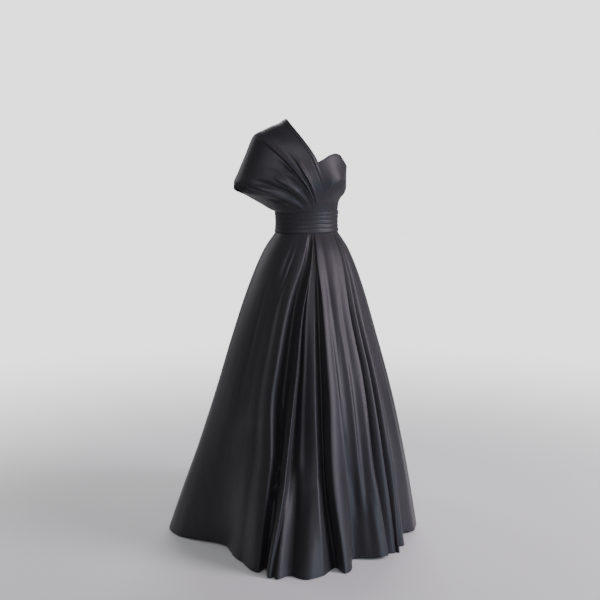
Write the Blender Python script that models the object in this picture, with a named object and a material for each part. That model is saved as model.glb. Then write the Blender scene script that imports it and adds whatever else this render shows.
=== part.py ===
"""A one-shoulder evening dress in dark satin, worn pose, hollow.

The origin is the middle of the waist. +Z is up, -Y is the front and +X is the wearer's left.
An angle round the body is 0 at the centre front and grows towards the wearer's left, so +90 is the
left side seam, 180 the centre back and -90 the right side seam.
"""

import math
from bisect import bisect_right
from collections import namedtuple

import bmesh
import bpy
from mathutils import Matrix, Vector

# Cloth and seams, in metres
WALL = 0.0020
GAP = 0.0003
HALF_GAP = GAP / 2

# Heights measured from the middle of the waist
HEM_Z = -1.110
BAND_HALF = 0.0370
BODICE_FOOT_Z = BAND_HALF + GAP
SKIRT_TOP_Z = -BAND_HALF - GAP

# The general figure that the dress is cut for: half sizes of the body at each height
Section = namedtuple("Section", "z side front back")
FIGURE = (
    Section(-0.060, 0.118, 0.096, 0.098),
    Section(-0.037, 0.1125, 0.0890, 0.0900),
    Section(0.000, 0.1100, 0.0870, 0.0865),
    Section(0.037, 0.1125, 0.0900, 0.0865),
    Section(0.062, 0.1150, 0.0950, 0.0880),
    Section(0.080, 0.1220, 0.1030, 0.0895),
    Section(0.100, 0.1385, 0.1100, 0.0910),
    Section(0.120, 0.1440, 0.1150, 0.0930),
    Section(0.150, 0.1435, 0.1170, 0.0960),
    Section(0.190, 0.1450, 0.1170, 0.0990),
    Section(0.260, 0.1440, 0.1120, 0.1020),
)

# Cups: where each is fullest, how far it stands out and how wide and tall it is
CUP_ANGLE = 36.0
CUP_Z = 0.148
CUP_OUT = 0.018
CUP_WIDTH = 22.0
CUP_HEIGHT = 0.045

# Top edge of the strapless left side, from under the front drape round to under the back drape
Edge = namedtuple("Edge", "angle z")
TOP_EDGE = (
    Edge(-14, 0.196),
    Edge(-3, 0.207),
    Edge(4, 0.2150),
    Edge(13, 0.2240),
    Edge(25, 0.2365),
    Edge(36, 0.2415),
    Edge(46, 0.2370),
    Edge(58, 0.2140),
    Edge(72, 0.1960),
    Edge(90, 0.1850),
    Edge(130, 0.1780),
    Edge(170, 0.1740),
    Edge(194, 0.1700),
)
BODICE_FRONT_ANGLES = (-6.0, 90.0)
BODICE_BACK_ANGLES = (90.0, 186.0)

# Gathers where the cup meets the waistband
GATHER_STEP = 8.0
GATHER_OUT = 0.0014
GATHER_FROM = 10.0
GATHER_TO = 84.0
GATHER_FADE = 6.0
GATHER_HEIGHT = 0.42

# Waistband pleats
BAND_PLEATS = 5
BAND_OUT = 0.0030
BAND_PLEAT_OUT = 0.0024
BAND_WAVER = 0.16
BAND_GROOVE = 0.22

# The drape: a row for each section, from the neckline edge round to the underarm seam.
# Each section starts at waist_angle on the waistband, lies on the bust and the chest (an angle, a
# height and how far out of the figure) and ends on the shoulder seam or the sleeve's hem.
Fold = namedtuple(
    "Fold",
    "name s waist_angle bust_angle bust_z bust_out chest_angle chest_z chest_out top_x top_y top_z",
)
FRONT_DRAPE = (
    Fold("neckline", 0.00, 30, 17, 0.126, 0.0045, 0.5, 0.2170, 0.0045, -0.071, 0.000, 0.3610),
    Fold("turned_edge", 0.10, 22, 8, 0.132, 0.0050, -8, 0.2190, 0.0050, -0.092, 0.000, 0.3490),
    Fold("first_pleat", 0.22, 15, -2, 0.136, 0.0060, -18, 0.2160, 0.0060, -0.124, 0.000, 0.3370),
    Fold("collar_pleat", 0.34, 9, -12, 0.140, 0.0070, -29, 0.2100, 0.0080, -0.157, 0.000, 0.3220),
    Fold("shoulder_ridge", 0.45, 4, -20, 0.140, 0.0090, -41, 0.2030, 0.0120, -0.190, 0.000, 0.3050),
    Fold("upper_sleeve", 0.57, -1, -28, 0.130, 0.0100, -50, 0.1850, 0.0260, -0.222, 0.000, 0.2380),
    Fold("middle_sleeve", 0.69, -7, -36, 0.112, 0.0120, -56, 0.1500, 0.0450, -0.248, 0.000, 0.1790),
    Fold("low_fold", 0.80, -16, -44, 0.088, 0.0120, -60, 0.1170, 0.0550, -0.265, -0.004, 0.1370),
    Fold("under_fold", 0.90, -42, -62, 0.060, 0.0110, -72, 0.0880, 0.0520, -0.251, -0.050, 0.1130),
    Fold("underarm", 1.00, -90, -90, 0.044, 0.0200, -90, 0.0660, 0.0540, -0.228, 0.000, 0.0990),
)
BACK_DRAPE = (
    Fold("neckline", 0.00, 150, 165, 0.110, 0.0045, 178, 0.2000, 0.0045, -0.071, 0.000, 0.3610),
    Fold("turned_edge", 0.10, 158, 173, 0.115, 0.0050, 188, 0.2050, 0.0050, -0.092, 0.000, 0.3490),
    Fold("first_pleat", 0.22, 165, 182, 0.120, 0.0060, 198, 0.2100, 0.0060, -0.124, 0.000, 0.3370),
    Fold("collar_pleat", 0.34, 171, 191, 0.124, 0.0070, 209, 0.2080, 0.0090, -0.157, 0.000, 0.3220),
    Fold("shoulder_ridge", 0.45, 176, 199, 0.126, 0.0090, 220, 0.2010, 0.0150, -0.190, 0.000, 0.3050),
    Fold("upper_sleeve", 0.57, 182, 207, 0.118, 0.0120, 229, 0.1800, 0.0300, -0.222, 0.000, 0.2380),
    Fold("middle_sleeve", 0.69, 188, 215, 0.104, 0.0140, 235, 0.1480, 0.0500, -0.248, 0.000, 0.1790),
    Fold("low_fold", 0.80, 197, 223, 0.084, 0.0140, 240, 0.1160, 0.0600, -0.265, 0.004, 0.1370),
    Fold("under_fold", 0.90, 222, 242, 0.060, 0.0120, 251, 0.0880, 0.0540, -0.251, 0.050, 0.1130),
    Fold("underarm", 1.00, 270, 270, 0.044, 0.0200, 270, 0.0660, 0.0540, -0.228, 0.000, 0.0990),
)
# How far the drape stands off the figure at the waistband, the shares of its length at which it
# lies on the bust and on the chest, and how it turns over the shoulder
DRAPE_FOOT_OUT = 0.0042
BUST_SHARE = 0.5
CHEST_SHARE = 0.56
CHEST_STEP = 0.02
SLEEVE_SEAM_END = 0.80
SLEEVE_BLEND = (0.76, 0.88)
OVER_ROUND = 1.05
NECK_SWEEP = 0.45
NECK_SWEEP_END = 0.35

# Pleats pressed into the drape: where, how wide on each side, how high, and where each fades
Pleat = namedtuple("Pleat", "name s before after out low high")
FRONT_PLEATS = (
    Pleat("turned_edge", 0.075, 0.05, 0.025, 0.0015, 0.30, 0.98),
    Pleat("collar", 0.355, 0.07, 0.03, 0.0065, 0.05, 0.72),
    Pleat("shoulder_ridge", 0.460, 0.06, 0.03, 0.0110, 0.04, 0.97),
    Pleat("sleeve_low", 0.660, 0.06, 0.04, 0.0070, 0.05, 0.62),
    Pleat("trough", 0.745, 0.04, 0.04, -0.0070, 0.10, 0.80),
    Pleat("low_fold", 0.815, 0.05, 0.05, 0.0120, 0.03, 0.88),
)
PLEAT_FADE = 0.25
BACK_PLEATS = (
    Pleat("turned_edge", 0.075, 0.05, 0.025, 0.0015, 0.30, 0.98),
    Pleat("collar", 0.300, 0.07, 0.03, 0.0060, 0.05, 0.80),
    Pleat("shoulder_ridge", 0.455, 0.06, 0.03, 0.0090, 0.04, 0.95),
    Pleat("sleeve_low", 0.640, 0.06, 0.04, 0.0075, 0.05, 0.66),
    Pleat("low_fold", 0.800, 0.06, 0.05, 0.0100, 0.03, 0.86),
)

# The skirt's own size at each height, before its pleats
Ring = namedtuple("Ring", "z left right front back")
SKIRT = (
    Ring(SKIRT_TOP_Z, 0.1130, 0.1130, 0.0900, 0.0900),
    Ring(-0.100, 0.1520, 0.1540, 0.1280, 0.1320),
    Ring(-0.220, 0.1970, 0.2040, 0.1800, 0.1900),
    Ring(-0.400, 0.2460, 0.2620, 0.2460, 0.2620),
    Ring(-0.600, 0.2970, 0.3180, 0.3150, 0.3300),
    Ring(-0.800, 0.3370, 0.3800, 0.3800, 0.3930),
    Ring(-0.960, 0.3640, 0.4330, 0.4280, 0.4380),
    Ring(HEM_Z, 0.3860, 0.4800, 0.4700, 0.4740),
)

# How the cloth's lines fan: an angle at the hem and the angle where that line leaves the waistband
Line = namedtuple("Line", "hem_angle waist_angle")
FAN = (
    Line(-180, -180),
    Line(-135, -140),
    Line(-90, -90),
    Line(-60, -50),
    Line(-41, -26),
    Line(-32, -12),
    Line(-14, -3),
    Line(-4, 6),
    Line(10, 22),
    Line(26, 48),
    Line(37, 60),
    Line(60, 75),
    Line(90, 90),
    Line(135, 137),
    Line(180, 180),
)
FAN_REACH = 0.20
PLEAT_START = 0.02

# Pleats of the skirt: the angle at the hem, the width of each flank in degrees, and how far each
# stands out just under the waistband, over the hip, at the knee and at the hem
SkirtPleat = namedtuple("SkirtPleat", "name angle before after waist hip knee hem")
PLEAT_HEIGHTS = (0.0, 0.20, 0.60, 1.0)
SKIRT_PLEATS = (
    SkirtPleat("right_lobe", -97, 22, 18, 0.0, 0.003, 0.010, 0.028),
    SkirtPleat("right_hollow", -64, 24, 19, 0.0, -0.003, -0.020, -0.082),
    SkirtPleat("ridge_a", -39, 6, 4, 0.0020, 0.010, 0.024, 0.066),
    SkirtPleat("notch_a", -35, 3, 3, -0.0015, -0.008, -0.012, -0.022),
    SkirtPleat("box_left", -31, 4, 6, 0.0030, 0.015, 0.028, 0.085),
    SkirtPleat("hem_lobe", -25, 6, 10, 0.0, 0.0, 0.0, 0.055),
    SkirtPleat("box_underlay", -17, 12, 12, -0.0020, -0.012, -0.008, 0.072),
    SkirtPleat("underlay_fold", -13, 4, 5, 0.0, 0.004, 0.012, 0.006),
    SkirtPleat("box_right", -5, 7, 4.5, 0.0030, 0.014, 0.030, 0.060),
    SkirtPleat("right_of_box", 3, 5, 9, -0.0010, -0.004, -0.012, -0.044),
    SkirtPleat("light_panel", 14, 9, 8, 0.0005, 0.004, 0.008, -0.016),
    SkirtPleat("knife_one", 26, 8, 3, 0.0035, 0.016, 0.030, 0.014),
    SkirtPleat("knife_one_under", 31, 3, 4, -0.0020, -0.008, -0.012, -0.030),
    SkirtPleat("knife_two", 37, 4, 3, 0.0030, 0.013, 0.022, -0.008),
    SkirtPleat("left_hollow", 42, 7, 9, -0.0010, -0.005, -0.014, -0.046),
    SkirtPleat("left_lobe", 70, 16, 20, 0.0, 0.003, 0.008, 0.012),
    SkirtPleat("back_left_hollow", 103, 10, 12, 0.0, -0.005, -0.018, -0.034),
    SkirtPleat("back_left_one", 120, 12, 6, 0.0020, 0.010, 0.022, 0.040),
    SkirtPleat("back_left_two", 141, 12, 5, 0.0025, 0.011, 0.021, 0.033),
    SkirtPleat("back_left_under", 149, 5, 6, -0.0015, -0.006, -0.013, -0.026),
    SkirtPleat("back_box_left", 164, 9, 5, 0.0030, 0.013, 0.025, 0.044),
    SkirtPleat("back_underlay", 177, 10, 10, -0.0020, -0.010, -0.016, -0.024),
    SkirtPleat("back_box_right", 191, 5, 10, 0.0030, 0.014, 0.024, 0.047),
    SkirtPleat("back_right_under", 206, 6, 7, -0.0015, -0.007, -0.014, -0.028),
    SkirtPleat("back_right_one", 219, 6, 13, 0.0020, 0.010, 0.023, 0.036),
    SkirtPleat("back_right_hollow", 240, 9, 12, 0.0, -0.005, -0.016, -0.030),
)

# Where the hem lifts off its level, by angle: the middle, the width each side and the lift
Lift = namedtuple("Lift", "angle before after up")
HEM_LIFTS = (
    Lift(-75, 18, 20, 0.008),
    Lift(-35, 3, 3, 0.010),
    Lift(12, 15, 12, 0.013),
    Lift(44, 8, 14, 0.016),
    Lift(103, 12, 14, 0.010),
    Lift(149, 7, 9, 0.012),
    Lift(207, 9, 10, 0.012),
    Lift(241, 12, 12, 0.010),
)

LIFT_POWER = 4

# Skirt panels: the angles at the hem between which each is cut
Panel = namedtuple("Panel", "name start end")
SKIRT_PANELS = (
    Panel("skirt_front_right", -90.0, -35.0),
    Panel("skirt_front_centre", -35.0, 2.0),
    Panel("skirt_front_left", 2.0, 90.0),
    Panel("skirt_back_left", 90.0, 177.0),
    Panel("skirt_back_right", 177.0, 270.0),
)
SKIRT_COLUMN_STEP = 3.6
CLOSEST_COLUMNS = 1.6
SHARP_FLANK = 5.0
SKIRT_ROWS = 12
SKIRT_ROW_POWER = 1.25

# The concealed zip's slider and pull tab, on the left side seam
ZIP_Z = 0.1640
SLIDER_WIDTH = 0.0060
SLIDER_HEIGHT = 0.0080
SLIDER_BASE = 0.0010
LUG_WIDTH = 0.0011
LUG_HEIGHT = 0.0030
PIN_OUT = 0.0031
PIN_RADIUS = 0.0006
EYE_HOLE = 0.0010
EYE_RADIUS = 0.0017
PULL_WIDTH = 0.0030
PULL_THICK = 0.0010
PULL_LENGTH = 0.0200
ZIP_SIDES = 16

# Columns and rows of each wall of cloth, and how small a step measures a slope on it
BODICE_FRONT_GRID = (32, 8)
BODICE_BACK_GRID = (16, 6)
BAND_COLUMNS = 24
DRAPE_COLUMN_STEP = 0.036
DRAPE_ROWS = 12
SLOPE_STEP = 0.002
DRAPE_SLOPE_STEP = 0.004
SEAM_END = 0.999
SHARP_ANGLE = 50.0

# Finishes: charcoal satin and blackened metal
Finish = namedtuple("Finish", "colour roughness metallic")
SATIN = Finish((0.022, 0.022, 0.027, 1.0), 0.42, 0.0)
METAL = Finish((0.030, 0.030, 0.034, 1.0), 0.35, 0.9)


class Curve:
    """A smooth curve through a table's rows, which never swings past them."""

    def __init__(self, xs, ys):
        self.xs = list(xs)
        self.ys = list(ys)
        steps = [b - a for a, b in zip(self.xs, self.xs[1:])]
        slopes = [(b - a) / h for a, b, h in zip(self.ys, self.ys[1:], steps)]
        self.tangents = [slopes[0]]
        for before, after in zip(slopes, slopes[1:]):
            product = before * after
            self.tangents.append(2 * product / (before + after) if product > 0 else 0.0)
        self.tangents.append(slopes[-1])

    def __call__(self, x):
        last = len(self.xs) - 1
        if x <= self.xs[0]:
            return self.ys[0] + (x - self.xs[0]) * self.tangents[0]
        if x >= self.xs[last]:
            return self.ys[last] + (x - self.xs[last]) * self.tangents[last]
        i = bisect_right(self.xs, x) - 1
        h = self.xs[i + 1] - self.xs[i]
        t = (x - self.xs[i]) / h
        return (
            (1 + 2 * t) * (1 - t) ** 2 * self.ys[i]
            + t * (1 - t) ** 2 * h * self.tangents[i]
            + t * t * (3 - 2 * t) * self.ys[i + 1]
            + t * t * (t - 1) * h * self.tangents[i + 1]
        )


def curves(rows, key):
    """A Curve for each column of a table, against its key column."""
    xs = [getattr(row, key) for row in rows]
    columns = [name for name in rows[0]._fields if name not in (key, "name")]
    return {name: Curve(xs, [getattr(row, name) for row in rows]) for name in columns}


FIGURE_AT = curves(FIGURE, "z")
SKIRT_AT = curves(tuple(reversed(SKIRT)), "z")
TOP_EDGE_AT = curves(TOP_EDGE, "angle")["z"]
FAN_AT = curves(FAN, "hem_angle")["waist_angle"]


def bump(distance, before, after):
    """A soft ridge one unit high, with flanks of two widths."""
    share = abs(distance) / (before if distance < 0 else after)
    return 0.5 * (1 + math.cos(math.pi * share)) if share < 1 else 0.0


def step(low, high, x):
    """0 below low, 1 above high and a smooth rise between them."""
    t = min(max((x - low) / (high - low), 0.0), 1.0)
    return t * t * (3 - 2 * t)


def turn(angle):
    """The same angle between -180 and 180."""
    return (angle + 180.0) % 360.0 - 180.0


def oval(angle, left, right, front, back):
    """The radius of a ring made of four quarter ellipses."""
    s = math.sin(math.radians(angle))
    c = math.cos(math.radians(angle))
    across = left if s > 0 else right
    along = front if c > 0 else back
    return 1 / math.hypot(s / across, c / along)


def around(angle, radius, z):
    """The point at an angle, a radius and a height."""
    a = math.radians(angle)
    return Vector((radius * math.sin(a), -radius * math.cos(a), z))


def figure_radius(angle, z):
    """The radius of the general figure, with its two cups."""
    side = FIGURE_AT["side"](z)
    radius = oval(angle, side, side, FIGURE_AT["front"](z), FIGURE_AT["back"](z))
    upright = math.exp(-(((z - CUP_Z) / CUP_HEIGHT) ** 2))
    for middle in (-CUP_ANGLE, CUP_ANGLE):
        sideways = math.exp(-((turn(angle - middle) / CUP_WIDTH) ** 2))
        radius += CUP_OUT * sideways * upright
    return radius


def on_figure(angle, z, out):
    """A point that stands out from the general figure."""
    return around(angle, figure_radius(angle, z) + out, z)


def normal_of(surface, s, t):
    """The outward normal of a surface of two parameters, each from 0 to 1."""
    e = SLOPE_STEP
    across = surface(s + e, t) - surface(s - e, t)
    up = surface(s, t + e) - surface(s, t - e)
    return across.cross(up).normalized()


def cloth(name, surface, columns, rows):
    """One closed wall of cloth on a surface, columns from left to right and rows from foot to top.

    The two side edges stand back by half the seam gap.
    """
    outside = []
    inside = []
    for i, s in enumerate(columns):
        for t in rows:
            point = surface(s, t)
            normal = normal_of(surface, s, t)
            if i in (0, len(columns) - 1):
                across = surface(s + SLOPE_STEP, t) - surface(s - SLOPE_STEP, t)
                point = point + across.normalized() * (HALF_GAP if i == 0 else -HALF_GAP)
            outside.append(point)
            inside.append(point - normal * WALL)
    return shell(name, outside, inside, len(columns), len(rows))


def shell(name, outside, inside, columns, rows):
    """A closed mesh between two grids of points, stored column by column."""
    points = outside + inside
    shift = len(outside)
    faces = []

    def at(i, j):
        return i * rows + j

    for i in range(columns - 1):
        for j in range(rows - 1):
            quad = (at(i, j), at(i + 1, j), at(i + 1, j + 1), at(i, j + 1))
            faces.append(quad)
            faces.append(tuple(shift + k for k in reversed(quad)))
    rim = [at(i, 0) for i in range(columns)]
    rim += [at(columns - 1, j) for j in range(1, rows)]
    rim += [at(i, rows - 1) for i in range(columns - 2, -1, -1)]
    rim += [at(0, j) for j in range(rows - 2, 0, -1)]
    for a, b in zip(rim, rim[1:] + rim[:1]):
        faces.append((b, a, shift + a, shift + b))
    mesh = bpy.data.meshes.new(name)
    mesh.from_pydata([tuple(p) for p in points], [], faces)
    return place(name, mesh, SATIN)


def place(name, mesh, finish):
    """Links a mesh as a named object with its own material, facing out and shaded smooth."""
    work = bmesh.new()
    work.from_mesh(mesh)
    bmesh.ops.recalc_face_normals(work, faces=work.faces)
    work.to_mesh(mesh)
    work.free()
    mesh.shade_smooth()
    mesh.set_sharp_from_angle(angle=math.radians(SHARP_ANGLE))
    obj = bpy.data.objects.new(name, mesh)
    material = bpy.data.materials.new(name)
    material.use_nodes = True
    shader = material.node_tree.nodes["Principled BSDF"]
    shader.inputs["Base Color"].default_value = finish.colour
    shader.inputs["Roughness"].default_value = finish.roughness
    shader.inputs["Metallic"].default_value = finish.metallic
    mesh.materials.append(material)
    bpy.context.scene.collection.objects.link(obj)
    return obj


def evenly(low, high, count):
    """count + 1 values from low to high."""
    return [low + (high - low) * i / count for i in range(count + 1)]


def between(values, finest):
    """The values, with more put evenly between those that lie further apart than finest."""
    found = [values[0]]
    for low, high in zip(values, values[1:]):
        pieces = max(1, math.ceil((high - low) / finest - 1e-6))
        found += evenly(low, high, pieces)[1:]
    return found


def bodice_surface(start, end):
    """The strapless side of the bodice, lying on the figure, gathered at its foot."""

    def surface(s, t):
        angle = start + (end - start) * s
        z = BODICE_FOOT_Z + (TOP_EDGE_AT(angle) - BODICE_FOOT_Z) * t
        reach = step(GATHER_FROM, GATHER_FROM + GATHER_FADE, angle)
        reach *= 1 - step(GATHER_TO - GATHER_FADE, GATHER_TO, angle)
        wave = 0.5 - 0.5 * math.cos(math.tau * angle / GATHER_STEP)
        out = GATHER_OUT * wave * reach * (1 - step(0.0, GATHER_HEIGHT, t))
        return on_figure(angle, z, out)

    return surface


def band_surface(start, end):
    """The waistband, with pleats that waver a little round the body."""

    def surface(s, t):
        angle = start + (end - start) * s
        waver = BAND_WAVER * math.sin(math.radians(2 * angle + 40)) * math.sin(math.pi * t)
        z = -BAND_HALF + 2 * BAND_HALF * (t + waver / BAND_PLEATS)
        share = (BAND_PLEATS * t) % 1.0
        pleat = min(1.0, min(share, 1 - share) / BAND_GROOVE)
        return on_figure(angle, z, BAND_OUT + BAND_PLEAT_OUT * pleat * pleat * (3 - 2 * pleat))

    return surface


class Drape:
    """Half of the draped bodice and cape sleeve, front or back, as one surface.

    s runs from the neckline edge to the underarm seam and t from the waistband to the top.
    """

    def __init__(self, rows, pleats, side):
        self.at = curves(rows, "s")
        self.pleats = pleats
        self.side = side

    def base(self, s, t):
        """A point of the drape before its pleats."""
        at = {name: curve(s) for name, curve in self.at.items()}
        if t <= CHEST_SHARE:
            share = t / CHEST_SHARE
            return self.low(at, share)
        chest = self.low(at, 1.0)
        slope = (chest - self.low(at, 1.0 - CHEST_STEP)) / CHEST_STEP
        rise = slope * (1 - CHEST_SHARE) / CHEST_SHARE
        top = Vector((at["top_x"], at["top_y"], at["top_z"]))
        reach = top - chest
        straight = step(*SLEEVE_BLEND, s)
        sweep = NECK_SWEEP * (1 - step(0.0, NECK_SWEEP_END, s))
        over = Vector((sweep, self.side * OVER_ROUND, 0)) * reach.length
        arrive = over * (1 - straight) + reach * straight
        v = (t - CHEST_SHARE) / (1 - CHEST_SHARE)
        return (
            chest * ((1 + 2 * v) * (1 - v) ** 2)
            + rise * (v * (1 - v) ** 2)
            + top * (v * v * (3 - 2 * v))
            + arrive * (v * v * (v - 1))
        )

    def low(self, at, share):
        """The stretch that lies on the figure, from the waistband to the chest."""
        shares = (0, BUST_SHARE, 1)
        angle = Curve(shares, (at["waist_angle"], at["bust_angle"], at["chest_angle"]))(share)
        z = Curve(shares, (BODICE_FOOT_Z, at["bust_z"], at["chest_z"]))(share)
        out = Curve(shares, (DRAPE_FOOT_OUT, at["bust_out"], at["chest_out"]))(share)
        return on_figure(angle, z, out)

    def pleat_height(self, s, t):
        """How far the pleats raise the cloth here."""
        height = 0.0
        for pleat in self.pleats:
            fade = step(pleat.low, pleat.low + PLEAT_FADE, t)
            fade *= 1 - step(pleat.high - PLEAT_FADE, pleat.high, t)
            height += pleat.out * bump(s - pleat.s, pleat.before, pleat.after) * fade
        return height

    def normal(self, s, t):
        """The outward normal of the plain drape, level with the seams along them."""
        e = DRAPE_SLOPE_STEP
        low = min(max(t - e, 0.0), 1.0 - 2 * e)
        left = min(max(s - e, 0.0), 1.0 - 2 * e)
        across = self.base(left + 2 * e, t) - self.base(left, t)
        up = self.base(s, low + 2 * e) - self.base(s, low)
        normal = up.cross(across) * self.side
        if t > SEAM_END and s <= SLEEVE_SEAM_END or s > SEAM_END:
            normal.y = 0.0
        return normal.normalized()

    def surface(self, s, t):
        """A point of the pleated drape."""
        return self.base(s, t) + self.normal(s, t) * self.pleat_height(s, t)

    def point_pair(self, s, t):
        """The outer and the inner point, both on this half's own side of the seams."""
        point = self.surface(s, t)
        normal = self.normal(s, t)
        pair = []
        for p in (point, point - normal * WALL):
            if self.side > 0:
                pair.append(Vector((p.x, min(p.y, -HALF_GAP), p.z)))
            else:
                pair.append(Vector((p.x, max(p.y, HALF_GAP), p.z)))
        return pair


def build_drape(name, rows, pleats, side):
    """One half of the drape; side is 1 in front and -1 behind."""
    drape = Drape(rows, pleats, side)
    marks = sorted({0.0, 1.0} | {p.s for p in pleats} | {p.s + p.after for p in pleats})
    columns = between(marks, DRAPE_COLUMN_STEP)
    heights = evenly(0.0, 1.0, DRAPE_ROWS)
    outside = []
    inside = []
    for s in columns:
        for t in heights:
            outer, inner = drape.point_pair(s, t)
            outside.append(outer)
            inside.append(inner)
    return shell(name, outside, inside, len(columns), len(heights))


def skirt_angle(hem_angle, drop):
    """The angle of a line of the cloth at a share of the skirt's height."""
    turns = round((hem_angle - turn(hem_angle)) / 360.0)
    waist = FAN_AT(turn(hem_angle)) + 360.0 * turns
    level = math.exp(-drop / FAN_REACH)
    end = math.exp(-1.0 / FAN_REACH)
    return hem_angle + (waist - hem_angle) * (level - end) / (1 - end)


def pleat_out(hem_angle, drop):
    """How far the pleats raise the skirt here."""
    total = 0.0
    for pleat in SKIRT_PLEATS:
        rise = bump(turn(hem_angle - pleat.angle), pleat.before, pleat.after)
        if rise:
            depth = Curve(PLEAT_HEIGHTS, (pleat.waist, pleat.hip, pleat.knee, pleat.hem))(drop)
            total += rise * depth
    return total * step(-PLEAT_START, PLEAT_START, drop)


def skirt_point(hem_angle, drop):
    """A point of the skirt: a line of the cloth, and a share of the way down to the hem."""
    lift = sum(row.up * bump(turn(hem_angle - row.angle), row.before, row.after) for row in HEM_LIFTS)
    z = SKIRT_TOP_Z + (HEM_Z - SKIRT_TOP_Z) * drop + lift * max(drop, 0.0) ** LIFT_POWER
    angle = skirt_angle(hem_angle, drop)
    ring = [SKIRT_AT[name](z) for name in ("left", "right", "front", "back")]
    return around(angle, oval(angle, *ring) + pleat_out(hem_angle, drop), z)


def skirt_surface(start, end):
    """The skirt between two lines of the cloth, from the hem up."""

    def surface(s, t):
        return skirt_point(start + (end - start) * s, 1 - t)

    return surface


def build_skirt_panel(panel):
    """One panel of the skirt, with a column on every pleat."""
    marks = [panel.start, panel.end]
    crests = [pleat.angle for pleat in SKIRT_PLEATS]
    feet = [p.angle + p.after for p in SKIRT_PLEATS if p.after <= SHARP_FLANK]
    feet += [p.angle - p.before for p in SKIRT_PLEATS if p.before <= SHARP_FLANK]
    for angle in crests + feet:
        inside = panel.start < angle < panel.end
        if inside and min(abs(angle - mark) for mark in marks) > CLOSEST_COLUMNS:
            marks.append(angle)
    angles = between(sorted(marks), SKIRT_COLUMN_STEP)
    columns = [(a - panel.start) / (panel.end - panel.start) for a in angles]
    rows = [1 - (1 - t) ** SKIRT_ROW_POWER for t in evenly(0.0, 1.0, SKIRT_ROWS)]
    return cloth(panel.name, skirt_surface(panel.start, panel.end), columns, rows)


def extrude_along_y(name, points, faces, low, high):
    """Plane faces at y = low in X and Z, thickened to y = high."""
    work = bmesh.new()
    made = [work.verts.new((x, low, z)) for x, z in points]
    flat = [work.faces.new([made[i] for i in face]) for face in faces]
    grown = bmesh.ops.extrude_face_region(work, geom=flat)
    moved = [item for item in grown["geom"] if isinstance(item, bmesh.types.BMVert)]
    bmesh.ops.translate(work, verts=moved, vec=(0, high - low, 0))
    bmesh.ops.recalc_face_normals(work, faces=work.faces)
    mesh = bpy.data.meshes.new(name)
    work.to_mesh(mesh)
    work.free()
    return mesh


def rectangle(low_x, high_x, low_z, high_z):
    """The four corners of an upright rectangle in X and Z."""
    return [(low_x, low_z), (high_x, low_z), (high_x, high_z), (low_x, high_z)]


def join(base, part):
    """Adds a solid to another with a Boolean union and hides the part that was added."""
    part.hide_render = True
    part.display_type = "WIRE"
    union = base.modifiers.new("union", "BOOLEAN")
    union.operation = "UNION"
    union.solver = "EXACT"
    union.object = part


def build_zip():
    """The slider with its two lugs and pin, and the pull tab hinged on the pin."""
    face_x = figure_radius(90.0, ZIP_Z) + GAP
    pin_x = face_x + PIN_OUT
    half = SLIDER_WIDTH / 2
    foot = ZIP_Z - SLIDER_HEIGHT / 2
    head = ZIP_Z + SLIDER_HEIGHT / 2
    plate = rectangle(face_x, face_x + SLIDER_BASE, foot, head)
    mesh = extrude_along_y("zip_slider", plate, [(0, 1, 2, 3)], -half, half)
    slider = place("zip_slider", mesh, METAL)
    lug_foot = ZIP_Z - LUG_HEIGHT / 2
    lug_head = ZIP_Z + LUG_HEIGHT / 2
    lug = rectangle(face_x + SLIDER_BASE / 2, pin_x + 2 * PIN_RADIUS, lug_foot, lug_head)
    for low in (-half, half - LUG_WIDTH):
        side = "left" if low > 0 else "right"
        mesh = extrude_along_y(f"lug_{side}", lug, [(0, 1, 2, 3)], low, low + LUG_WIDTH)
        join(slider, place(f"lug_{side}", mesh, METAL))
    ring = [math.tau * i / ZIP_SIDES for i in range(ZIP_SIDES)]
    bar = [(pin_x + PIN_RADIUS * math.cos(a), ZIP_Z + PIN_RADIUS * math.sin(a)) for a in ring]
    reach = half - LUG_WIDTH / 2
    mesh = extrude_along_y("pin", bar, [tuple(range(ZIP_SIDES))], -reach, reach)
    join(slider, place("pin", mesh, METAL))

    down = -math.pi / 2
    eye = [down + math.tau * (i + 0.5) / ZIP_SIDES for i in range(ZIP_SIDES)]
    outer = [(EYE_RADIUS * math.cos(a), EYE_RADIUS * math.sin(a)) for a in eye]
    inner = [(EYE_HOLE * math.cos(a), EYE_HOLE * math.sin(a)) for a in eye]
    strip = rectangle(-PULL_THICK / 2, PULL_THICK / 2, -PULL_LENGTH, -PULL_LENGTH)[:2]
    points = [(pin_x + x, ZIP_Z + z) for x, z in outer + inner + strip]
    faces = []
    for i in range(ZIP_SIDES):
        j = (i + 1) % ZIP_SIDES
        faces.append((i, j, ZIP_SIDES + j, ZIP_SIDES + i))
    last = ZIP_SIDES - 1
    faces.append((last, 2 * ZIP_SIDES, 2 * ZIP_SIDES + 1, 0))
    width = PULL_WIDTH / 2
    mesh = extrude_along_y("zip_pull", points, faces, -width, width)
    pull = place("zip_pull", mesh, METAL)
    pull.data.transform(Matrix.Translation((-pin_x, 0, -ZIP_Z)))
    pull.location = (pin_x, 0, ZIP_Z)


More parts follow.
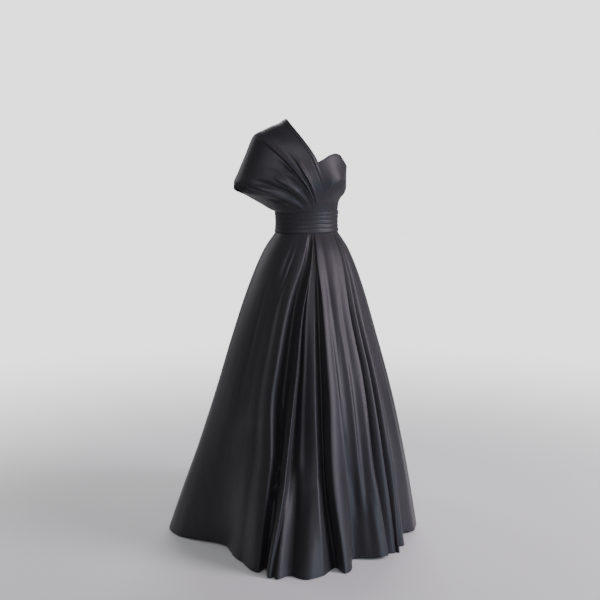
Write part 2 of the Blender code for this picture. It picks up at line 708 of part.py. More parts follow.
def main():
    """Clears the scene and builds every piece."""
    for obj in list(bpy.data.objects):
        bpy.data.objects.remove(obj, do_unlink=True)
    for name, angles, grid in (
        ("bodice_front", BODICE_FRONT_ANGLES, BODICE_FRONT_GRID),
        ("bodice_back", BODICE_BACK_ANGLES, BODICE_BACK_GRID),
    ):
        columns, rows = (evenly(0.0, 1.0, count) for count in grid)
        cloth(name, bodice_surface(*angles), columns, rows)
    build_drape("drape_front", FRONT_DRAPE, FRONT_PLEATS, 1)
    build_drape("drape_back", BACK_DRAPE, BACK_PLEATS, -1)
    stops = (0.0, BAND_GROOVE, 1 - BAND_GROOVE)
    band_rows = [(i + stop) / BAND_PLEATS for i in range(BAND_PLEATS) for stop in stops] + [1.0]
    band_columns = evenly(0.0, 1.0, BAND_COLUMNS)
    cloth("waistband_front", band_surface(-90.0, 90.0), band_columns, band_rows)
    cloth("waistband_back", band_surface(90.0, 270.0), band_columns, band_rows)
    for panel in SKIRT_PANELS:
        build_skirt_panel(panel)
    build_zip()


main()
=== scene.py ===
"""Looks of a one-shoulder evening dress in charcoal satin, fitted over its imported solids.

The origin is the middle of the waist, +Z is up, -Y is the front and +X is the wearer's left. An angle
round the body is 0 at the centre front and grows towards the wearer's left. All sizes are in metres.
"""

import logging
import math
from collections.abc import Callable, Sequence
from dataclasses import dataclass
from enum import Enum
from typing import NamedTuple

import bpy
import numpy as np
from mathutils import Matrix, Vector

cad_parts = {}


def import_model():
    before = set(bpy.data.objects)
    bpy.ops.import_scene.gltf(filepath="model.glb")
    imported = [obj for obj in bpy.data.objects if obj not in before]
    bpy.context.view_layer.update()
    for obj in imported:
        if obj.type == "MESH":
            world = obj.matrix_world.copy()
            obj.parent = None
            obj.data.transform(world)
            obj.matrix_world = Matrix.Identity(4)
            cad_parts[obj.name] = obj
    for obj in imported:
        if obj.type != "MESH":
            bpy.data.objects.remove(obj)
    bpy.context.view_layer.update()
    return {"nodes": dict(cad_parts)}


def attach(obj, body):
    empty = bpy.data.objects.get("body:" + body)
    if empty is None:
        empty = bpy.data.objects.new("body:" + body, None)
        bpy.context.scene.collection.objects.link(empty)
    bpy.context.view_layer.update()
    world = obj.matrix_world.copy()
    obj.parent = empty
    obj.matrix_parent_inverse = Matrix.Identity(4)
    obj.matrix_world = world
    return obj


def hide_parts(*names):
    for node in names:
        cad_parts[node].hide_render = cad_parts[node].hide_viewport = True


LOG = logging.getLogger("dress")
Surface = Callable[[np.ndarray, np.ndarray], np.ndarray]

THICKNESS = 0.0010
SLOPE_STEP = 0.001
CREASE_TAPER = 0.75
HEM_Z = -1.110
BAND_HALF = 0.0370

# Seams: how far the solids of two pieces are apart, how far the side of a sheet stays back from its
# seam, and how deep the bodice and the skirt are tucked behind the waistband
SEAM_GAP = 0.0003
SEAM_INSET = 0.00002
TUCK = 0.009
BODICE_FOOT_Z = BAND_HALF + SEAM_GAP
SKIRT_TOP_Z = -BODICE_FOOT_Z


class Side(Enum):
    """Which half of the body a piece covers, and the sign of its way out along -Y."""

    FRONT = 1
    BACK = -1


class Held(Enum):
    """How a cut piece of cloth is held."""

    HUNG = "hung"
    DRAPED = "draped"
    FOLDED = "folded"
    GATHERED = "gathered"


class Section(NamedTuple):
    """Half sizes of the general figure at a height."""

    z: float
    side: float
    front: float
    back: float


class Edge(NamedTuple):
    """The height of an edge at an angle."""

    angle: float
    z: float


class Fold(NamedTuple):
    """One section of the drape, from the waistband over the bust and chest to the shoulder."""

    s: float
    waist_angle: float
    bust_angle: float
    bust_z: float
    bust_out: float
    chest_angle: float
    chest_z: float
    chest_out: float
    top_x: float
    top_y: float
    top_z: float


class Pleat(NamedTuple):
    """A pleat of the drape: its place, the width of each flank, its height and where it fades."""

    s: float
    before: float
    after: float
    out: float
    low: float
    high: float


class Ring(NamedTuple):
    """Half sizes of the skirt at a height, before its pleats."""

    z: float
    left: float
    right: float
    front: float
    back: float


class Line(NamedTuple):
    """The angles of one line of the cloth at the hem and at the waistband."""

    hem_angle: float
    waist_angle: float


class SkirtPleat(NamedTuple):
    """A pleat of the skirt: flanks in degrees, how far it stands out at four heights, its lean."""

    angle: float
    before: float
    after: float
    waist: float
    hip: float
    knee: float
    hem: float
    lean: float = 0.0


class Swing(NamedTuple):
    """How far a line of the cloth swings round the body at five heights, in degrees."""

    angle: float
    waist: float
    hip: float
    thigh: float
    knee: float
    hem: float


class Lift(NamedTuple):
    """Where the hem lifts off its level."""

    angle: float
    before: float
    after: float
    up: float


class Ripple(NamedTuple):
    """A faint ripple of the skirt: its angle, its drift on the way down, its middle and its size."""

    angle: float
    drift: float
    drop: float
    reach: float
    width: float
    out: float


class Crease(NamedTuple):
    """A soft ridge, or a trough where out is negative, along a line from one end to the other."""

    across_0: float
    along_0: float
    across_1: float
    along_1: float
    width: float
    out: float


class Cut(NamedTuple):
    """A cut piece of cloth: its flat width, length and area, how it is held and by what."""

    width: float
    length: float
    area: float
    held: Held
    rests_on: tuple[str, ...]


class Panel(NamedTuple):
    """A skirt panel between two lines of the cloth."""

    name: str
    start: float
    end: float


FIGURE = (
    Section(-0.060, 0.118, 0.096, 0.098),
    Section(-0.037, 0.1125, 0.0890, 0.0900),
    Section(0.000, 0.1100, 0.0870, 0.0865),
    Section(0.037, 0.1125, 0.0900, 0.0865),
    Section(0.062, 0.1150, 0.0950, 0.0880),
    Section(0.080, 0.1220, 0.1030, 0.0895),
    Section(0.100, 0.1385, 0.1100, 0.0910),
    Section(0.120, 0.1440, 0.1150, 0.0930),
    Section(0.150, 0.1435, 0.1170, 0.0960),
    Section(0.190, 0.1450, 0.1170, 0.0990),
    Section(0.260, 0.1440, 0.1120, 0.1020),
)
TOP_EDGE = (
    Edge(-14, 0.196),
    Edge(-3, 0.207),
    Edge(4, 0.2150),
    Edge(13, 0.2240),
    Edge(25, 0.2365),
    Edge(36, 0.2415),
    Edge(46, 0.2370),
    Edge(58, 0.2140),
    Edge(72, 0.1960),
    Edge(90, 0.1850),
    Edge(130, 0.1780),
    Edge(170, 0.1740),
    Edge(194, 0.1700),
)
FRONT_DRAPE = (
    Fold(0.00, 30, 17, 0.126, 0.0045, 0.5, 0.2170, 0.0045, -0.071, 0.000, 0.3610),
    Fold(0.10, 22, 8, 0.132, 0.0050, -8, 0.2190, 0.0050, -0.092, 0.000, 0.3490),
    Fold(0.22, 15, -2, 0.136, 0.0060, -18, 0.2160, 0.0060, -0.124, 0.000, 0.3370),
    Fold(0.34, 9, -12, 0.140, 0.0070, -29, 0.2100, 0.0080, -0.157, 0.000, 0.3220),
    Fold(0.45, 4, -20, 0.140, 0.0090, -41, 0.2030, 0.0120, -0.190, 0.000, 0.3050),
    Fold(0.57, -1, -28, 0.130, 0.0100, -50, 0.1850, 0.0260, -0.222, 0.000, 0.2380),
    Fold(0.69, -7, -36, 0.112, 0.0120, -56, 0.1500, 0.0450, -0.248, 0.000, 0.1790),
    Fold(0.80, -16, -44, 0.088, 0.0120, -60, 0.1170, 0.0550, -0.265, -0.004, 0.1370),
    Fold(0.90, -42, -62, 0.060, 0.0110, -72, 0.0880, 0.0520, -0.251, -0.050, 0.1130),
    Fold(1.00, -90, -90, 0.044, 0.0200, -90, 0.0660, 0.0540, -0.228, 0.000, 0.0990),
)
BACK_DRAPE = (
    Fold(0.00, 150, 165, 0.110, 0.0045, 178, 0.2000, 0.0045, -0.071, 0.000, 0.3610),
    Fold(0.10, 158, 173, 0.115, 0.0050, 188, 0.2050, 0.0050, -0.092, 0.000, 0.3490),
    Fold(0.22, 165, 182, 0.120, 0.0060, 198, 0.2100, 0.0060, -0.124, 0.000, 0.3370),
    Fold(0.34, 171, 191, 0.124, 0.0070, 209, 0.2080, 0.0090, -0.157, 0.000, 0.3220),
    Fold(0.45, 176, 199, 0.126, 0.0090, 220, 0.2010, 0.0150, -0.190, 0.000, 0.3050),
    Fold(0.57, 182, 207, 0.118, 0.0120, 229, 0.1800, 0.0300, -0.222, 0.000, 0.2380),
    Fold(0.69, 188, 215, 0.104, 0.0140, 235, 0.1480, 0.0500, -0.248, 0.000, 0.1790),
    Fold(0.80, 197, 223, 0.084, 0.0140, 240, 0.1160, 0.0600, -0.265, 0.004, 0.1370),
    Fold(0.90, 222, 242, 0.060, 0.0120, 251, 0.0880, 0.0540, -0.251, 0.050, 0.1130),
    Fold(1.00, 270, 270, 0.044, 0.0200, 270, 0.0660, 0.0540, -0.228, 0.000, 0.0990),
)
FRONT_PLEATS = (
    Pleat(0.075, 0.05, 0.025, 0.0015, 0.30, 0.98),
    Pleat(0.355, 0.07, 0.03, 0.0065, 0.05, 0.72),
    Pleat(0.460, 0.06, 0.03, 0.0110, 0.04, 0.97),
    Pleat(0.660, 0.06, 0.04, 0.0070, 0.05, 0.62),
    Pleat(0.745, 0.04, 0.04, -0.0070, 0.10, 0.80),
    Pleat(0.815, 0.05, 0.05, 0.0120, 0.03, 0.88),
)
BACK_PLEATS = (
    Pleat(0.075, 0.05, 0.025, 0.0015, 0.30, 0.98),
    Pleat(0.300, 0.07, 0.03, 0.0060, 0.05, 0.80),
    Pleat(0.455, 0.06, 0.03, 0.0090, 0.04, 0.95),
    Pleat(0.640, 0.06, 0.04, 0.0075, 0.05, 0.66),
    Pleat(0.800, 0.06, 0.05, 0.0100, 0.03, 0.86),
)
SKIRT = (
    Ring(HEM_Z, 0.3860, 0.4800, 0.4700, 0.4740),
    Ring(-0.960, 0.3640, 0.4330, 0.4280, 0.4380),
    Ring(-0.800, 0.3370, 0.3800, 0.3800, 0.3930),
    Ring(-0.600, 0.2970, 0.3180, 0.3150, 0.3300),
    Ring(-0.400, 0.2460, 0.2620, 0.2460, 0.2620),
    Ring(-0.220, 0.1970, 0.2040, 0.1800, 0.1900),
    Ring(-0.100, 0.1520, 0.1540, 0.1280, 0.1320),
    Ring(SKIRT_TOP_Z, 0.1130, 0.1130, 0.0900, 0.0900),
)
FAN = (
    Line(-180, -180),
    Line(-135, -140),
    Line(-90, -90),
    Line(-60, -50),
    Line(-41, -21),
    Line(-32, -5),
    Line(-14, -2.2),
    Line(-5, -0.5),
    Line(8, 26),
    Line(17, 44),
    Line(26, 56),
    Line(37, 66),
    Line(60, 77),
    Line(90, 90),
    Line(135, 137),
    Line(180, 180),
)
PLEAT_HEIGHTS = (0.0, 0.20, 0.60, 1.0)
SKIRT_PLEATS = (
    SkirtPleat(-97, 22, 18, 0.0, 0.003, 0.010, 0.028),
    SkirtPleat(-64, 24, 19, 0.0, -0.003, -0.020, -0.082),
    SkirtPleat(-39, 10, 2.4, 0.0015, 0.012, 0.028, 0.060, 0.009),
    SkirtPleat(-35.2, 3.0, 5.2, -0.0010, -0.016, -0.032, 0.044),
    SkirtPleat(-31, 3.8, 2.4, 0.0015, 0.014, 0.030, 0.070, 0.010),
    SkirtPleat(-27.4, 2.8, 6, -0.0005, -0.010, -0.022, 0.020),
    SkirtPleat(-29, 3.5, 6, 0.0, 0.0, 0.0, 0.048),
    SkirtPleat(-25, 6, 10, 0.0, 0.0, 0.0, 0.042),
    SkirtPleat(-17, 12, 12, -0.0010, -0.008, -0.006, 0.072),
    SkirtPleat(-13.5, 7, 2.4, 0.0, 0.002, 0.016, 0.008, 0.005),
    SkirtPleat(-8.6, 3.4, 3.0, -0.0005, -0.008, -0.026, 0.006),
    SkirtPleat(-5, 2.4, 8, 0.0020, 0.015, 0.030, 0.060, -0.007),
    SkirtPleat(4, 6, 9, 0.0, 0.0, -0.002, -0.040),
    SkirtPleat(8, 12, 9, 0.0010, 0.008, 0.014, 0.0),
    SkirtPleat(17, 7, 2.2, 0.0025, 0.010, 0.020, 0.014, 0.007),
    SkirtPleat(19.8, 2.6, 3.4, -0.0020, -0.012, -0.022, -0.014),
    SkirtPleat(24.5, 4, 1.8, 0.0025, 0.010, 0.016, 0.0, 0.004),
    SkirtPleat(26.4, 1.8, 1.6, -0.0010, -0.006, -0.008, 0.0),
    SkirtPleat(28.6, 2.0, 2.2, 0.0015, 0.008, 0.018, 0.012, 0.006),
    SkirtPleat(31, 2.4, 7, -0.0010, -0.010, -0.022, -0.034),
    SkirtPleat(44, 9, 12, 0.0, -0.004, -0.010, -0.040),
    SkirtPleat(70, 16, 20, 0.0, 0.003, 0.008, 0.012),
    SkirtPleat(103, 10, 12, 0.0, -0.005, -0.018, -0.034),
    SkirtPleat(120, 12, 3, 0.0020, 0.010, 0.022, 0.040, 0.006),
    SkirtPleat(141, 12, 2.6, 0.0025, 0.011, 0.021, 0.033, 0.006),
    SkirtPleat(146, 4, 6, -0.0015, -0.008, -0.014, -0.026),
    SkirtPleat(164, 9, 2.6, 0.0030, 0.013, 0.025, 0.044, 0.006),
    SkirtPleat(177, 10, 10, -0.0020, -0.010, -0.016, -0.024),
    SkirtPleat(191, 2.6, 10, 0.0030, 0.014, 0.024, 0.047, -0.006),
    SkirtPleat(206, 6, 7, -0.0015, -0.007, -0.014, -0.028),
    SkirtPleat(219, 3, 13, 0.0020, 0.010, 0.023, 0.036, -0.006),
    SkirtPleat(240, 9, 12, 0.0, -0.005, -0.016, -0.030),
)
SWING_HEIGHTS = (0.0, 0.20, 0.45, 0.72, 1.0)
SWINGS = (
    Swing(-60, 0.0, 0.0, 0.0, 0.0, 0.0),
    Swing(-39, 0.0, -6.0, -4.0, 2.0, 3.4),
    Swing(-31, 0.0, -0.9, 1.6, 1.4, -0.2),
    Swing(-13.5, 0.0, -2.4, -1.4, -0.5, 0.8),
    Swing(-5, 0.0, 2.4, 1.8, -0.2, 1.0),
    Swing(6, 0.0, 0.0, 0.5, 0.0, 0.0),
    Swing(17, 0.0, -2.8, 0.4, -1.4, 0.5),
    Swing(24.5, -3.0, -2.4, 1.0, 0.0, 0.5),
    Swing(28.6, -3.0, -1.0, 1.8, 0.2, -3.0),
    Swing(60, 0.0, 0.0, 0.0, 0.0, 0.0),
)
HEM_LIFTS = (
    Lift(-75, 18, 20, 0.008),
    Lift(-35, 3, 3, 0.010),
    Lift(12, 15, 12, 0.013),
    Lift(44, 8, 14, 0.016),
    Lift(103, 12, 14, 0.010),
    Lift(149, 7, 9, 0.012),
    Lift(207, 9, 10, 0.012),
    Lift(241, 12, 12, 0.010),
)
RIPPLE_LEAST = Ripple(-90.0, -6.0, 0.15, 0.07, 1.4, -0.0011)
RIPPLE_MOST = Ripple(270.0, 6.0, 1.0, 0.22, 4.0, 0.0011)
SKIRT_PANELS = (
    Panel("skirt_front_right", -90.0, -35.0),
    Panel("skirt_front_centre", -35.0, 2.0),
    Panel("skirt_front_left", 2.0, 90.0),
    Panel("skirt_back_left", 90.0, 177.0),
    Panel("skirt_back_right", 177.0, 270.0),
)

# Soft creases of the skirt: an angle at the hem and a share of the way down at each end, a width
# in degrees and a height
SKIRT_CREASES = (
    Crease(-29.0, 0.74, -28.0, 1.10, 2.0, 0.0180),
    Crease(-32.5, 0.70, -38.0, 0.82, 1.6, 0.0140),
    Crease(-33.0, 0.80, -33.5, 1.06, 1.6, -0.0140),
    Crease(-15.0, 0.76, -20.0, 1.12, 3.2, 0.0160),
    Crease(-13.0, 0.74, -11.5, 1.06, 1.8, 0.0110),
    Crease(-23.0, 0.70, -24.5, 1.12, 2.4, -0.0160),
    Crease(-9.0, 0.70, -8.5, 1.06, 1.8, -0.0120),
    Crease(-49.0, 0.0, -48.0, 0.22, 1.4, 0.0030),
    Crease(-56.0, 0.0, -55.0, 0.16, 1.6, 0.0025),
    Crease(-60.0, 0.55, -66.0, 1.0, 5.0, 0.0040),
    Crease(1.0, 0.22, 2.5, 0.62, 1.2, 0.0035),
    Crease(6.0, 0.30, 5.0, 0.75, 1.5, -0.0030),
    Crease(9.0, 0.40, 8.0, 0.95, 1.3, 0.0040),
    Crease(12.5, 0.62, 11.0, 1.05, 1.5, -0.0045),
    Crease(15.0, 0.45, 16.0, 0.92, 1.4, 0.0040),
    Crease(18.5, 0.55, 17.0, 0.80, 1.2, -0.0030),
    Crease(5.0, 0.72, 8.0, 0.92, 2.0, -0.0060),
    Crease(13.0, 0.80, 14.0, 1.08, 1.8, 0.0060),
    Crease(52.0, 0.20, 56.0, 0.90, 3.0, 0.0030),
    Crease(80.0, 0.30, 78.0, 0.95, 3.5, 0.0035),
    Crease(112.0, 0.25, 110.0, 0.90, 2.6, 0.0030),
    Crease(130.0, 0.40, 132.0, 1.02, 2.2, 0.0045),
    Crease(156.0, 0.30, 155.0, 0.92, 1.8, 0.0040),
    Crease(171.0, 0.45, 173.0, 1.03, 1.7, 0.0045),
    Crease(184.0, 0.35, 183.0, 0.95, 1.6, 0.0040),
    Crease(199.0, 0.50, 201.0, 1.04, 2.0, 0.0050),
    Crease(212.0, 0.28, 211.0, 0.85, 1.8, 0.0035),
    Crease(229.0, 0.42, 232.0, 1.02, 2.8, 0.0045),
    Crease(252.0, 0.35, 250.0, 0.95, 3.4, 0.0035),
)

# Creases of the drape, in its own shares across and along
FRONT_DRAPE_CREASES = (
    Crease(0.405, 0.02, 0.420, 0.66, 0.010, -0.0030),
    Crease(0.510, 0.04, 0.525, 0.70, 0.018, 0.0026),
    Crease(0.570, 0.05, 0.590, 0.72, 0.014, -0.0020),
    Crease(0.700, 0.06, 0.700, 0.60, 0.015, 0.0022),
    Crease(0.870, 0.05, 0.890, 0.62, 0.018, -0.0022),
    Crease(0.110, 0.05, 0.108, 0.96, 0.006, -0.0012),
)
BACK_DRAPE_CREASES = (
    Crease(0.200, 0.04, 0.200, 0.50, 0.016, 0.0018),
    Crease(0.360, 0.05, 0.380, 0.66, 0.013, 0.0024),
    Crease(0.410, 0.04, 0.400, 0.60, 0.011, -0.0018),
    Crease(0.520, 0.06, 0.540, 0.78, 0.015, 0.0028),
    Crease(0.585, 0.05, 0.600, 0.76, 0.013, 0.0020),
    Crease(0.705, 0.06, 0.715, 0.66, 0.014, -0.0026),
    Crease(0.870, 0.05, 0.890, 0.75, 0.016, 0.0026),
    Crease(0.930, 0.10, 0.945, 0.80, 0.014, -0.0022),
    Crease(0.110, 0.05, 0.108, 0.96, 0.006, -0.0012),
)

# Creases of the bodice: an angle and a share of the way up at each end
BODICE_CREASES = (
    Crease(14.0, 0.0, 24.0, 0.62, 2.0, 0.0010),
    Crease(20.0, 0.0, 30.0, 0.55, 1.8, 0.0010),
    Crease(27.0, 0.0, 35.0, 0.50, 1.9, 0.0011),
    Crease(35.0, 0.0, 40.0, 0.44, 1.7, 0.0009),
    Crease(43.0, 0.0, 46.0, 0.42, 2.0, 0.0010),
    Crease(52.0, 0.0, 52.0, 0.38, 2.0, 0.0012),
    Crease(62.0, 0.0, 60.0, 0.34, 2.2, 0.0010),
    Crease(48.0, 0.45, 66.0, 0.80, 3.0, 0.0012),
    Crease(112.0, 0.0, 110.0, 0.50, 3.0, 0.0010),
    Crease(150.0, 0.0, 149.0, 0.45, 3.0, 0.0010),
)


def hermite(
    t: np.ndarray, h: np.ndarray, ends: tuple[np.ndarray, np.ndarray], tangents: tuple[np.ndarray, np.ndarray]
) -> np.ndarray:
    """A cubic between two values with given slopes.

    Args:
        t: Share of the way from the first value to the second.
        h: Length of the way.
        ends: The two values.
        tangents: The slopes at them.

    Returns:
        The cubic's values.
    """
    return (
        (1 + 2 * t) * (1 - t) ** 2 * ends[0]
        + t * (1 - t) ** 2 * h * tangents[0]
        + t * t * (3 - 2 * t) * ends[1]
        + t * t * (t - 1) * h * tangents[1]
    )


def tangent(before: np.ndarray, after: np.ndarray) -> np.ndarray:
    """The slope at a point between two slopes, 0 where the curve turns back.

    Args:
        before: Slope of the stretch before the point.
        after: Slope of the stretch after it.

    Returns:
        The slopes at the points.
    """
    product = before * after
    total = np.where(product > 0, before + after, 1.0)
    return np.where(product > 0, 2 * product / total, 0.0)


class Curve:
    """A smooth curve through points, which never swings past them."""

    def __init__(self, xs: Sequence[float], ys: Sequence[float]) -> None:
        """Works out the slope at each point.

        Args:
            xs: Rising places.
            ys: The values there.
        """
        self.xs = np.asarray(xs, float)
        self.ys = np.asarray(ys, float)
        slopes = np.diff(self.ys) / np.diff(self.xs)
        inner = tangent(slopes[:-1], slopes[1:])
        self.tangents = np.concatenate((slopes[:1], inner, slopes[-1:]))

    def __call__(self, x: np.ndarray) -> np.ndarray:
        """The curve's values, which go on straight past its ends.

        Args:
            x: Places along it.

        Returns:
            The values there.
        """
        x = np.asarray(x, float)
        i = np.clip(np.searchsorted(self.xs, x, side="right") - 1, 0, len(self.xs) - 2)
        h = self.xs[i + 1] - self.xs[i]
        t = np.clip((x - self.xs[i]) / h, 0.0, 1.0)
        ends = (self.ys[i], self.ys[i + 1])
        inside = hermite(t, h, ends, (self.tangents[i], self.tangents[i + 1]))
        below = np.minimum(x - self.xs[0], 0.0) * self.tangents[0]
        above = np.maximum(x - self.xs[-1], 0.0) * self.tangents[-1]
        return inside + below + above


def curves(rows: tuple[NamedTuple, ...], key: str) -> dict[str, Curve]:
    """A curve for each column of a table.

    Args:
        rows: The table.
        key: The column that the others are read against.

    Returns:
        A curve for each other column, by its name.
    """
    xs = [getattr(row, key) for row in rows]
    names = [name for name in rows[0]._fields if name != key]
    return {name: Curve(xs, [getattr(row, name) for row in rows]) for name in names}


def bump(distance: np.ndarray, before: float, after: float) -> np.ndarray:
    """A soft ridge one unit high, with flanks of two widths.

    Args:
        distance: How far past the crest.
        before: Width of the flank before it.
        after: Width of the flank after it.

    Returns:
        The ridge's height, from 0 to 1.
    """
    share = np.abs(distance) / np.where(distance < 0, before, after)
    return 0.5 * (1 + np.cos(np.pi * np.minimum(share, 1.0)))


def step(low: float, high: float, x: np.ndarray) -> np.ndarray:
    """A smooth rise.

    Args:
        low: Where it leaves 0.
        high: Where it reaches 1.
        x: Places along it.

    Returns:
        The heights there.
    """
    t = np.clip((x - low) / (high - low), 0.0, 1.0)
    return t * t * (3 - 2 * t)


def turn(angle: np.ndarray) -> np.ndarray:
    """The same angles between -180 and 180."""
    return (angle + 180.0) % 360.0 - 180.0


def oval(
    angle: np.ndarray, left: np.ndarray, right: np.ndarray, front: np.ndarray, back: np.ndarray
) -> np.ndarray:
    """The radius of a ring made of four quarter ellipses.

    Args:
        angle: Angles round it.
        left: Half size on the wearer's left.
        right: Half size on the wearer's right.
        front: Half size in front.
        back: Half size behind.

    Returns:
        The radii.
    """
    sideways, ahead = np.sin(np.radians(angle)), np.cos(np.radians(angle))
    across = np.where(sideways > 0, left, right)
    along = np.where(ahead > 0, front, back)
    return 1 / np.hypot(sideways / across, ahead / along)


def around(angle: np.ndarray, radius: np.ndarray, z: np.ndarray) -> np.ndarray:
    """Points at angles, radii and heights.

    Args:
        angle: Angles round the body.
        radius: Distances from the origin's upright line.
        z: Heights.

    Returns:
        The points, with X, Y and Z last.
    """
    way = np.radians(angle)
    return np.stack(np.broadcast_arrays(radius * np.sin(way), -radius * np.cos(way), z), axis=-1)


def unit(vectors: np.ndarray) -> np.ndarray:
    """The vectors at a length of one."""
    return vectors / np.maximum(np.linalg.norm(vectors, axis=-1, keepdims=True), 1e-12)


def normals_of(surface: Surface, s: np.ndarray, t: np.ndarray) -> np.ndarray:
    """Outward normals of a surface.

    Args:
        surface: Points from two shares.
        s: Shares across.
        t: Shares along.

    Returns:
        The normals.
    """
    across = surface(s + SLOPE_STEP, t) - surface(s - SLOPE_STEP, t)
    up = surface(s, t + SLOPE_STEP) - surface(s, t - SLOPE_STEP)
    return unit(np.cross(across, up))


def crease_height(creases: tuple[Crease, ...], across: np.ndarray, along: np.ndarray) -> np.ndarray:
    """How far creases raise the cloth.

    Args:
        creases: The creases' table.
        across: Places across the cloth.
        along: Places along it.

    Returns:
        The heights.
    """
    total = np.zeros(np.broadcast_shapes(across.shape, along.shape))
    for crease in creases:
        share = (along - crease.along_0) / (crease.along_1 - crease.along_0)
        middle = crease.across_0 + (crease.across_1 - crease.across_0) * share
        length = np.clip(4 * share * (1 - share), 0.0, 1.0) ** CREASE_TAPER
        total = total + crease.out * length * np.exp(-(((across - middle) / crease.width) ** 2))
    return total


def blend_heights(heights: tuple[float, ...], values: list[np.ndarray], drop: np.ndarray) -> np.ndarray:
    """Values that pass smoothly through one array for each height.

    Args:
        heights: Rising shares of the way down.
        values: An array for each of them.
        drop: Shares to read.

    Returns:
        The values there.
    """
    total = values[0]
    for i, (low, high) in enumerate(zip(heights, heights[1:])):
        total = total + (values[i + 1] - values[i]) * step(low, high, drop)
    return total


def dense(start: float, end: float, widest: float, marks: list[float], near: float) -> np.ndarray:
    """Rising places from start to end, a third as far apart by each mark.

    Args:
        start: First place.
        end: Last place.
        widest: Step away from the marks.
        marks: Places of sharp edges.
        near: How far from a mark the short steps reach.

    Returns:
        The places.
    """
    found = [start]
    while found[-1] < end:
        close = any(abs(found[-1] - mark) < near for mark in marks)
        found.append(found[-1] + (widest / 3 if close else widest))
    places = np.array(found)
    return start + (places - start) * (end - start) / (places[-1] - start)


def new_material(name: str, values: dict[str, float | tuple[float, ...]]) -> bpy.types.Material:
    """A material with values on its shader's sockets.

    Args:
        name: The material's name.
        values: A value for each socket.

    Returns:
        The material.
    """
    made = bpy.data.materials.new(name)
    made.use_nodes = True
    for socket, value in values.items():
        made.node_tree.nodes["Principled BSDF"].inputs[socket].default_value = value
    return made


def add_node(tree: bpy.types.NodeTree, kind: str, **values: float | tuple[float, ...]) -> bpy.types.Node:
    """A new node with values on its sockets.

    Args:
        tree: The material's nodes.
        kind: The node's type.
        values: A value for each socket.

    Returns:
        The node.
    """
    made = tree.nodes.new(kind)
    for socket, value in values.items():
        made.inputs[socket].default_value = value
    return made


@dataclass(frozen=True)
class Satin:
    """Charcoal satin: a soft sheen, a fine weave and faint handling marks."""

    name: str = "charcoal_satin"
    colour: tuple[float, float, float] = (0.0205, 0.0180, 0.0225)
    tint: tuple[float, float, float] = (0.0275, 0.0245, 0.0310)
    roughness: float = 0.47
    anisotropy: float = 0.30
    specular: float = 0.42
    sheen: float = 0.12
    sheen_roughness: float = 0.4
    mottle_scale: float = 16.0
    mottle_detail: float = 2.0
    mottle_stretch: tuple[float, float, float] = (1.0, 1.0, 0.30)
    mottle_depth: float = 0.0016
    weave_scale: float = 900.0
    weave_detail: float = 1.0
    weave_depth: float = 0.00006

    def material(self) -> bpy.types.Material:
        """Makes the cloth's material.

        Returns:
            The material.
        """
        made = new_material(
            self.name,
            {
                "Roughness": self.roughness,
                "Anisotropic": self.anisotropy,
                "Specular IOR Level": self.specular,
                "Sheen Weight": self.sheen,
                "Sheen Roughness": self.sheen_roughness,
            },
        )
        tree = made.node_tree
        shader = tree.nodes["Principled BSDF"]
        place = add_node(tree, "ShaderNodeTexCoord")
        stretch = add_node(tree, "ShaderNodeMapping", Scale=self.mottle_stretch)
        mottle = add_node(tree, "ShaderNodeTexNoise", Scale=self.mottle_scale, Detail=self.mottle_detail)
        weave = add_node(tree, "ShaderNodeTexNoise", Scale=self.weave_scale, Detail=self.weave_detail)
        tone = add_node(tree, "ShaderNodeMix")
        tone.data_type = "RGBA"
        tone.inputs["A"].default_value = (*self.colour, 1.0)
        tone.inputs["B"].default_value = (*self.tint, 1.0)
        fine = add_node(tree, "ShaderNodeBump", Distance=self.weave_depth)
        soft = add_node(tree, "ShaderNodeBump", Distance=self.mottle_depth)
        for source, target in (
            (place.outputs["Object"], stretch.inputs["Vector"]),
            (place.outputs["Object"], weave.inputs["Vector"]),
            (stretch.outputs["Vector"], mottle.inputs["Vector"]),
            (mottle.outputs["Fac"], tone.inputs["Factor"]),
            (tone.outputs["Result"], shader.inputs["Base Color"]),
            (weave.outputs["Fac"], fine.inputs["Height"]),
            (mottle.outputs["Fac"], soft.inputs["Height"]),
            (fine.outputs["Normal"], soft.inputs["Normal"]),
            (soft.outputs["Normal"], shader.inputs["Normal"]),
        ):
            tree.links.new(source, target)
        return made


@dataclass(frozen=True)
class Blackened:
    """Blackened metal of the zip, or its black teeth where metallic is 0."""

    name: str
    colour: tuple[float, float, float] = (0.05, 0.05, 0.055)
    roughness: float = 0.32
    metallic: float = 0.9

    def material(self) -> bpy.types.Material:
        """Makes the finish's material."""
        values = {"Base Color": (*self.colour, 1.0), "Roughness": self.roughness, "Metallic": self.metallic}
        return new_material(self.name, values)


